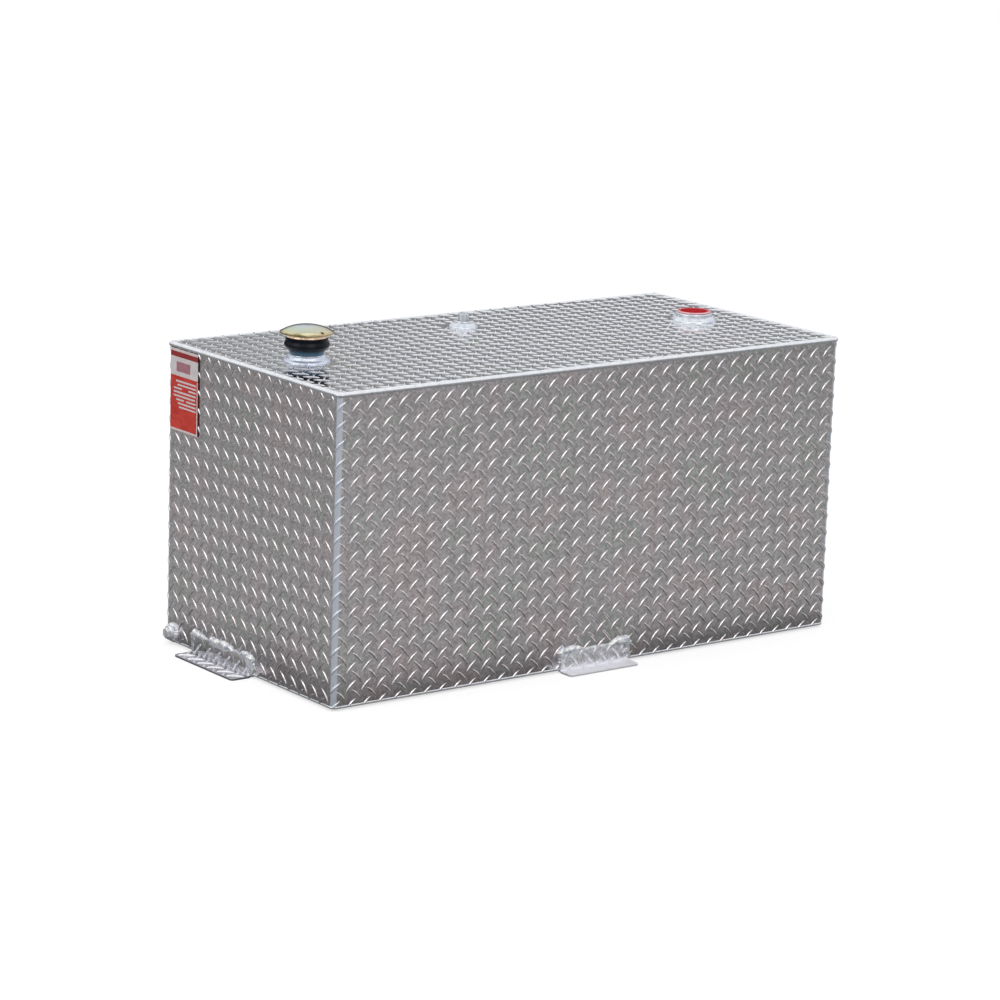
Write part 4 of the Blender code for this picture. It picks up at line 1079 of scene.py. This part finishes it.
def filler(finishes):
    bead = (finishes["fitting_weld"], 0.0100, 0.40, 2.0, 0.6)
    fitting("filler_collar", COLLAR, "filler_bead", bead, finishes["turned"], NECK_SUNK)
    foot = Matrix.Translation((*axis_of("filler_collar"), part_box("filler_collar")[1].z))
    low_end = SEAT - NECK_SUNK
    neck = rounded([
        (NECK_BORE, -NECK_DEPTH), (NECK_THREAD, -NECK_DEPTH), (NECK_THREAD, low_end), (NECK_WAIST, low_end),
        (NECK_WAIST + 0.0004, 0.0016 - NECK_SUNK, 1), (NECK_FLARE, NECK_FLARE_Z - 0.0014, 0.6),
        (NECK_FLARE, NECK_FLARE_Z + 0.0012, 0.6), (NECK_SHOULDER + 0.0002, 0.0150, 1),
        (NECK_SHOULDER, NECK_SHOULDER_Z, 0.5), (NECK_SPIGOT, NECK_SHOULDER_Z, 0.5),
        (NECK_SPIGOT, NECK_SPIGOT_TOP, 0.6), (NECK_BORE, NECK_SPIGOT_TOP, 0.8),
    ], 0.0014)
    add_turned("filler_neck_moulding", neck, finishes["black"], "tank", "filler_neck", foot)
    cap(finishes["zinc"], foot)


def cap(finish, place):
    """The domed cover with its rim rolled under, its skirt and its tether hole."""
    low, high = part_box("cap_cover")
    rim = half_width("cap_cover") - COVER_RIM_ROLL
    foot = place.translation.z
    bottom = low.z - foot
    inner = COVER_SKIRT_INNER
    outer = inner + COVER_SHEET

    def dome(radius, drop=0.0):
        return radius, high.z - foot - drop - COVER_DOME_RISE * (radius / rim) ** COVER_FULLNESS

    roll = dome(rim)[1] - COVER_RIM_ROLL
    curl = (math.radians(22.5 * k) for k in range(1, 8))
    profile = [
        *(dome(rim * k / 24) for k in range(25)),
        *((rim + COVER_RIM_ROLL * math.sin(a), roll + COVER_RIM_ROLL * math.cos(a)) for a in curl),
        (rim - 0.0012, roll - 0.0012), (outer + 0.0034, roll - 0.0016), (outer + 0.0012, roll - 0.0022),
        (outer, roll - 0.0034), (outer, bottom + 0.0006), (outer - 0.0004, bottom), (inner, bottom),
        *(dome(inner * k / 12, COVER_SHEET) for k in range(12, -1, -1)),
    ]
    mesh = turned_mesh("cap_dome", profile)
    mesh.transform(place)
    made = add_piece("cap_dome", mesh, finish, "cap", ("cap_cover",), COVER_SMOOTH)
    drill = bmesh.new()
    sizes = {"radius1": COVER_HOLE, "radius2": COVER_HOLE, "depth": 0.02}
    bmesh.ops.create_cone(drill, cap_ends=True, segments=24, **sizes)
    middle = Vector((COVER_HOLE_FROM_AXIS * math.cos(COVER_HOLE_AZIMUTH),
                     COVER_HOLE_FROM_AXIS * math.sin(COVER_HOLE_AZIMUTH), roll))
    bmesh.ops.translate(drill, verts=drill.verts, vec=place.translation + middle)
    cutter = linked("drill", mesh_from(drill, "drill"))
    hole = made.modifiers.new("Hole", "BOOLEAN")
    hole.operation = "DIFFERENCE"
    hole.solver = "EXACT"
    hole.object = cutter
    applied(made)
    smoothed(made.data, COVER_SMOOTH)
    bpy.data.objects.remove(cutter, do_unlink=True)


def pump_port(finishes):
    fitting("pump_bung", BUNG, "pump_bead", (finishes["port_weld"], 0.0075, 0.22, 4.0), finishes["turned"])
    low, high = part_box("pump_port_plug")
    flange = half_width("pump_port_plug")
    rest = Matrix.Translation((*axis_of("pump_bung"), high.z))
    bottom = low.z - high.z
    plug = rounded([
        (0.0, bottom + PLUG_WALL), (PLUG_CUP - PLUG_WALL - 0.0008, bottom + PLUG_WALL, 1),
        (PLUG_CUP - PLUG_WALL, 0.0, 0.5), (flange, 0.0, 0.9), (flange, -PLUG_FLANGE, 0.5),
        (PLUG_CUP, -PLUG_FLANGE), (PLUG_CUP - 0.0008, bottom, 0.8), (0.0, bottom),
    ], 0.0012)
    add_turned("pump_port_cup", plug, finishes["red"], "pump_plug", "pump_port_plug", rest)


def vent(finishes):
    bead = (finishes["port_weld"], 0.0070, 0.24, 6.0)
    fitting("vent_boss", BOSS, "vent_bead", bead, finishes["turned"], steps=SMALL_STEPS)


def drain(finishes):
    low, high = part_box("drain_coupling")
    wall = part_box("wrap_sheet")[0].x
    outward = Matrix.Rotation(math.radians(-90), 4, "Y")
    place = Matrix.Translation((wall, (low.y + high.y) / 2, (low.z + high.z) / 2)) @ outward
    radius = (high.y - low.y) / 2
    ring_bead("drain_bead", "drain_coupling_weld", radius, finishes["weld"], place, 0.0045, 0.05, 8.0, 2.5)


# Label
def label_fields(name, finish, fields, rise):
    """Plain fields of colour on the film, with no words, as thin sheets sunk into it."""
    low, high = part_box("side_label")
    width = high.y - low.y
    tall = high.z - low.z
    shape = bmesh.new()
    for left, right, bottom, top in fields:
        near, far = high.y - width * left, high.y - width * right
        down, up = low.z + tall * bottom, low.z + tall * top
        back, front = (
            [shape.verts.new((level, y, z)) for y, z in ((near, down), (far, down), (far, up), (near, up))]
            for level in ((low.x + high.x) / 2, low.x - rise)
        )
        for i in range(4):
            j = (i + 1) % 4
            shape.faces.new((back[i], back[j], front[j], front[i]))
        shape.faces.new(back[::-1])
        shape.faces.new(front)
    add_piece(name, mesh_from(shape, name), finish, "tank", smooth=None)


def label(finishes):
    label_fields("label_pale_fields", finishes["film_pale"], LABEL_PALE, LABEL_PRINT)
    label_fields("label_dark_fields", finishes["film_dark"], LABEL_DARK, LABEL_PRINT)
    label_fields("label_muted_field", finishes["film_muted"], LABEL_MUTED, 2 * LABEL_PRINT)


# Stage
def posed(piece, spot, turn):
    piece.rotation_mode = "QUATERNION"
    piece.location = spot
    piece.rotation_quaternion = turn
    return piece


def make_camera():
    data = bpy.data.cameras.new("camera")
    data.sensor_width = SENSOR
    data.lens = SENSOR * FOCAL_PIXELS / PHOTO_PIXELS
    roll = Matrix.Rotation(CAMERA_ROLL, 3, "Z").to_quaternion()
    turn = Vector(CAMERA_FORWARD).to_track_quat("-Z", "Y") @ roll
    bpy.context.scene.camera = posed(linked("camera", data), CAMERA_AT, turn)


def make_world():
    """A studio round the tank: pale overhead, mid grey low down, and a dark strip low at the back."""
    world = bpy.data.worlds.new("studio")
    bpy.context.scene.world = world
    nodes = Nodes(world, "ShaderNodeOutputWorld")
    way = nodes.add("TexCoord", output="Generated")
    sine = nodes.part(way, "Z")
    brightest = max(light for height, light in SKY)

    def grey(light):
        return (light, light, light, 1)

    stops = [((height + 1) / 2, grey(light / brightest)) for height, light in SKY]
    colour = nodes.ramp(nodes.ranged(sine, -1.0, 1.0), stops)
    behind = nodes.ranged(nodes.vector("DOT_PRODUCT", way, BACK_STRIP, "Value"), *BACK_STRIP_EDGE)
    under = nodes.ranged(sine, *BACK_STRIP_TOP, 1.0, 0.0)
    colour = nodes.scaled(colour, nodes.ranged(behind, 0.0, 1.0, 1.0, BACK_LIGHT))
    colour = nodes.mixed(nodes.calc("MULTIPLY", behind, under), colour, grey(BACK_STRIP_LIGHT))
    right = nodes.ranged(nodes.vector("DOT_PRODUCT", way, RIGHT_GLOW, "Value"), *RIGHT_GLOW_EDGE)
    glow = nodes.calc("MULTIPLY", right, nodes.ranged(sine, *RIGHT_GLOW_TOP, 1.0, 0.0))
    colour = nodes.mixed(glow, colour, grey(RIGHT_GLOW_LIGHT / brightest))
    dome = nodes.add("Background", {"Color": colour, "Strength": brightest})
    nodes.show_both(dome, nodes.add("Background", {"Color": (1, 1, 1, 1)}))


def make_lamp(name, way, distance, size, radiance):
    """A square softbox of this side, seen from the aim along way."""
    data = bpy.data.lights.new(name, "AREA")
    data.shape = "SQUARE"
    data.size = size
    data.energy = radiance * math.pi * size ** 2
    outward = Vector(way).normalized()
    spot = Vector(LAMP_AIM) + outward * distance
    posed(linked(name, data), spot, outward.to_track_quat("Z", "Y")).visible_camera = False


def make_floor():
    """Pale to the camera with the object's shadow, mid grey to the light that it bounces, with painted shade
    right beside the tank.
    """
    shape = bmesh.new()
    bmesh.ops.create_grid(shape, x_segments=1, y_segments=1, size=FLOOR_SIZE)
    mesh = mesh_from(shape, "floor", recalc=False)
    made = linked("floor", mesh)
    finish = bpy.data.materials.new("floor")
    nodes = Nodes(finish, "ShaderNodeOutputMaterial")
    spot = nodes.coordinates()
    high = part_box("wrap_sheet")[1]
    beyond = []
    for axis, half in (("X", high.x), ("Y", high.y)):
        past = nodes.calc("SUBTRACT", nodes.calc("ABSOLUTE", nodes.part(spot, axis)), half)
        past = nodes.calc("MAXIMUM", past, 0.0)
        beyond.append(nodes.calc("MULTIPLY", past, past))
    away = nodes.calc("SQRT", nodes.calc("ADD", *beyond))
    # painted shade on the floor right beside the tank
    near = nodes.ranged(away, *FLOOR_NEAR_ENDS, FLOOR_NEAR, FLOOR_MIDDLE)
    far = nodes.ranged(away, *FLOOR_FAR_STARTS, 0.0, FLOOR_MIDDLE - FLOOR_FAR)
    side = nodes.ranged(nodes.part(spot, "X"), *FLOOR_LEFT_ENDS, FLOOR_LEFT, 1.0)
    shade = nodes.calc("MULTIPLY", nodes.calc("SUBTRACT", near, far), side)
    pale = nodes.add("BsdfDiffuse", {"Color": (FLOOR_SEEN, FLOOR_SEEN, FLOOR_SEEN, 1)})
    lit = nodes.add("AddShader", {0: pale, 1: nodes.add("Emission", {"Strength": FLOOR_GLOW})})
    nodes.show_both(nodes.add("BsdfDiffuse", {"Color": shade}), lit)
    mesh.materials.append(finish)


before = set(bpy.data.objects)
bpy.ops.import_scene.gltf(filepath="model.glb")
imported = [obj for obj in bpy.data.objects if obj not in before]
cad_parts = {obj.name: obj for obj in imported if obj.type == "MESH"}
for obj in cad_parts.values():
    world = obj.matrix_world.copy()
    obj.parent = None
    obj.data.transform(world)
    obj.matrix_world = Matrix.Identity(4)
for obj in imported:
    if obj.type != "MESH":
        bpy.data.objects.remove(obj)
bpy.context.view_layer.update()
finishes = make_materials()
looks = {node: look for look, nodes in LOOK_NODES.items() for node in nodes.split()}
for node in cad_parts:
    finish_node(node, finishes[looks.get(node, "weld")])
wall_lugs(finishes["lugs"])
top_lugs(finishes["top_lugs"])
seam_bead("top_bead", TOP_BEAD, top_face(), "top_seam_weld", finishes["edge_weld"])
seam_bead("bottom_bead", BOTTOM_BEAD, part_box("bottom_plate")[0].z, "bottom_seam_weld", finishes["weld"])
wrap_seam_bead(finishes["weld"])
brackets(finishes)
filler(finishes)
pump_port(finishes)
vent(finishes)
drain(finishes)
label(finishes)
make_floor()
make_world()
for lamp in LAMPS:
    make_lamp(*lamp)
make_camera()
bpy.context.scene.view_settings.view_transform = "Standard"
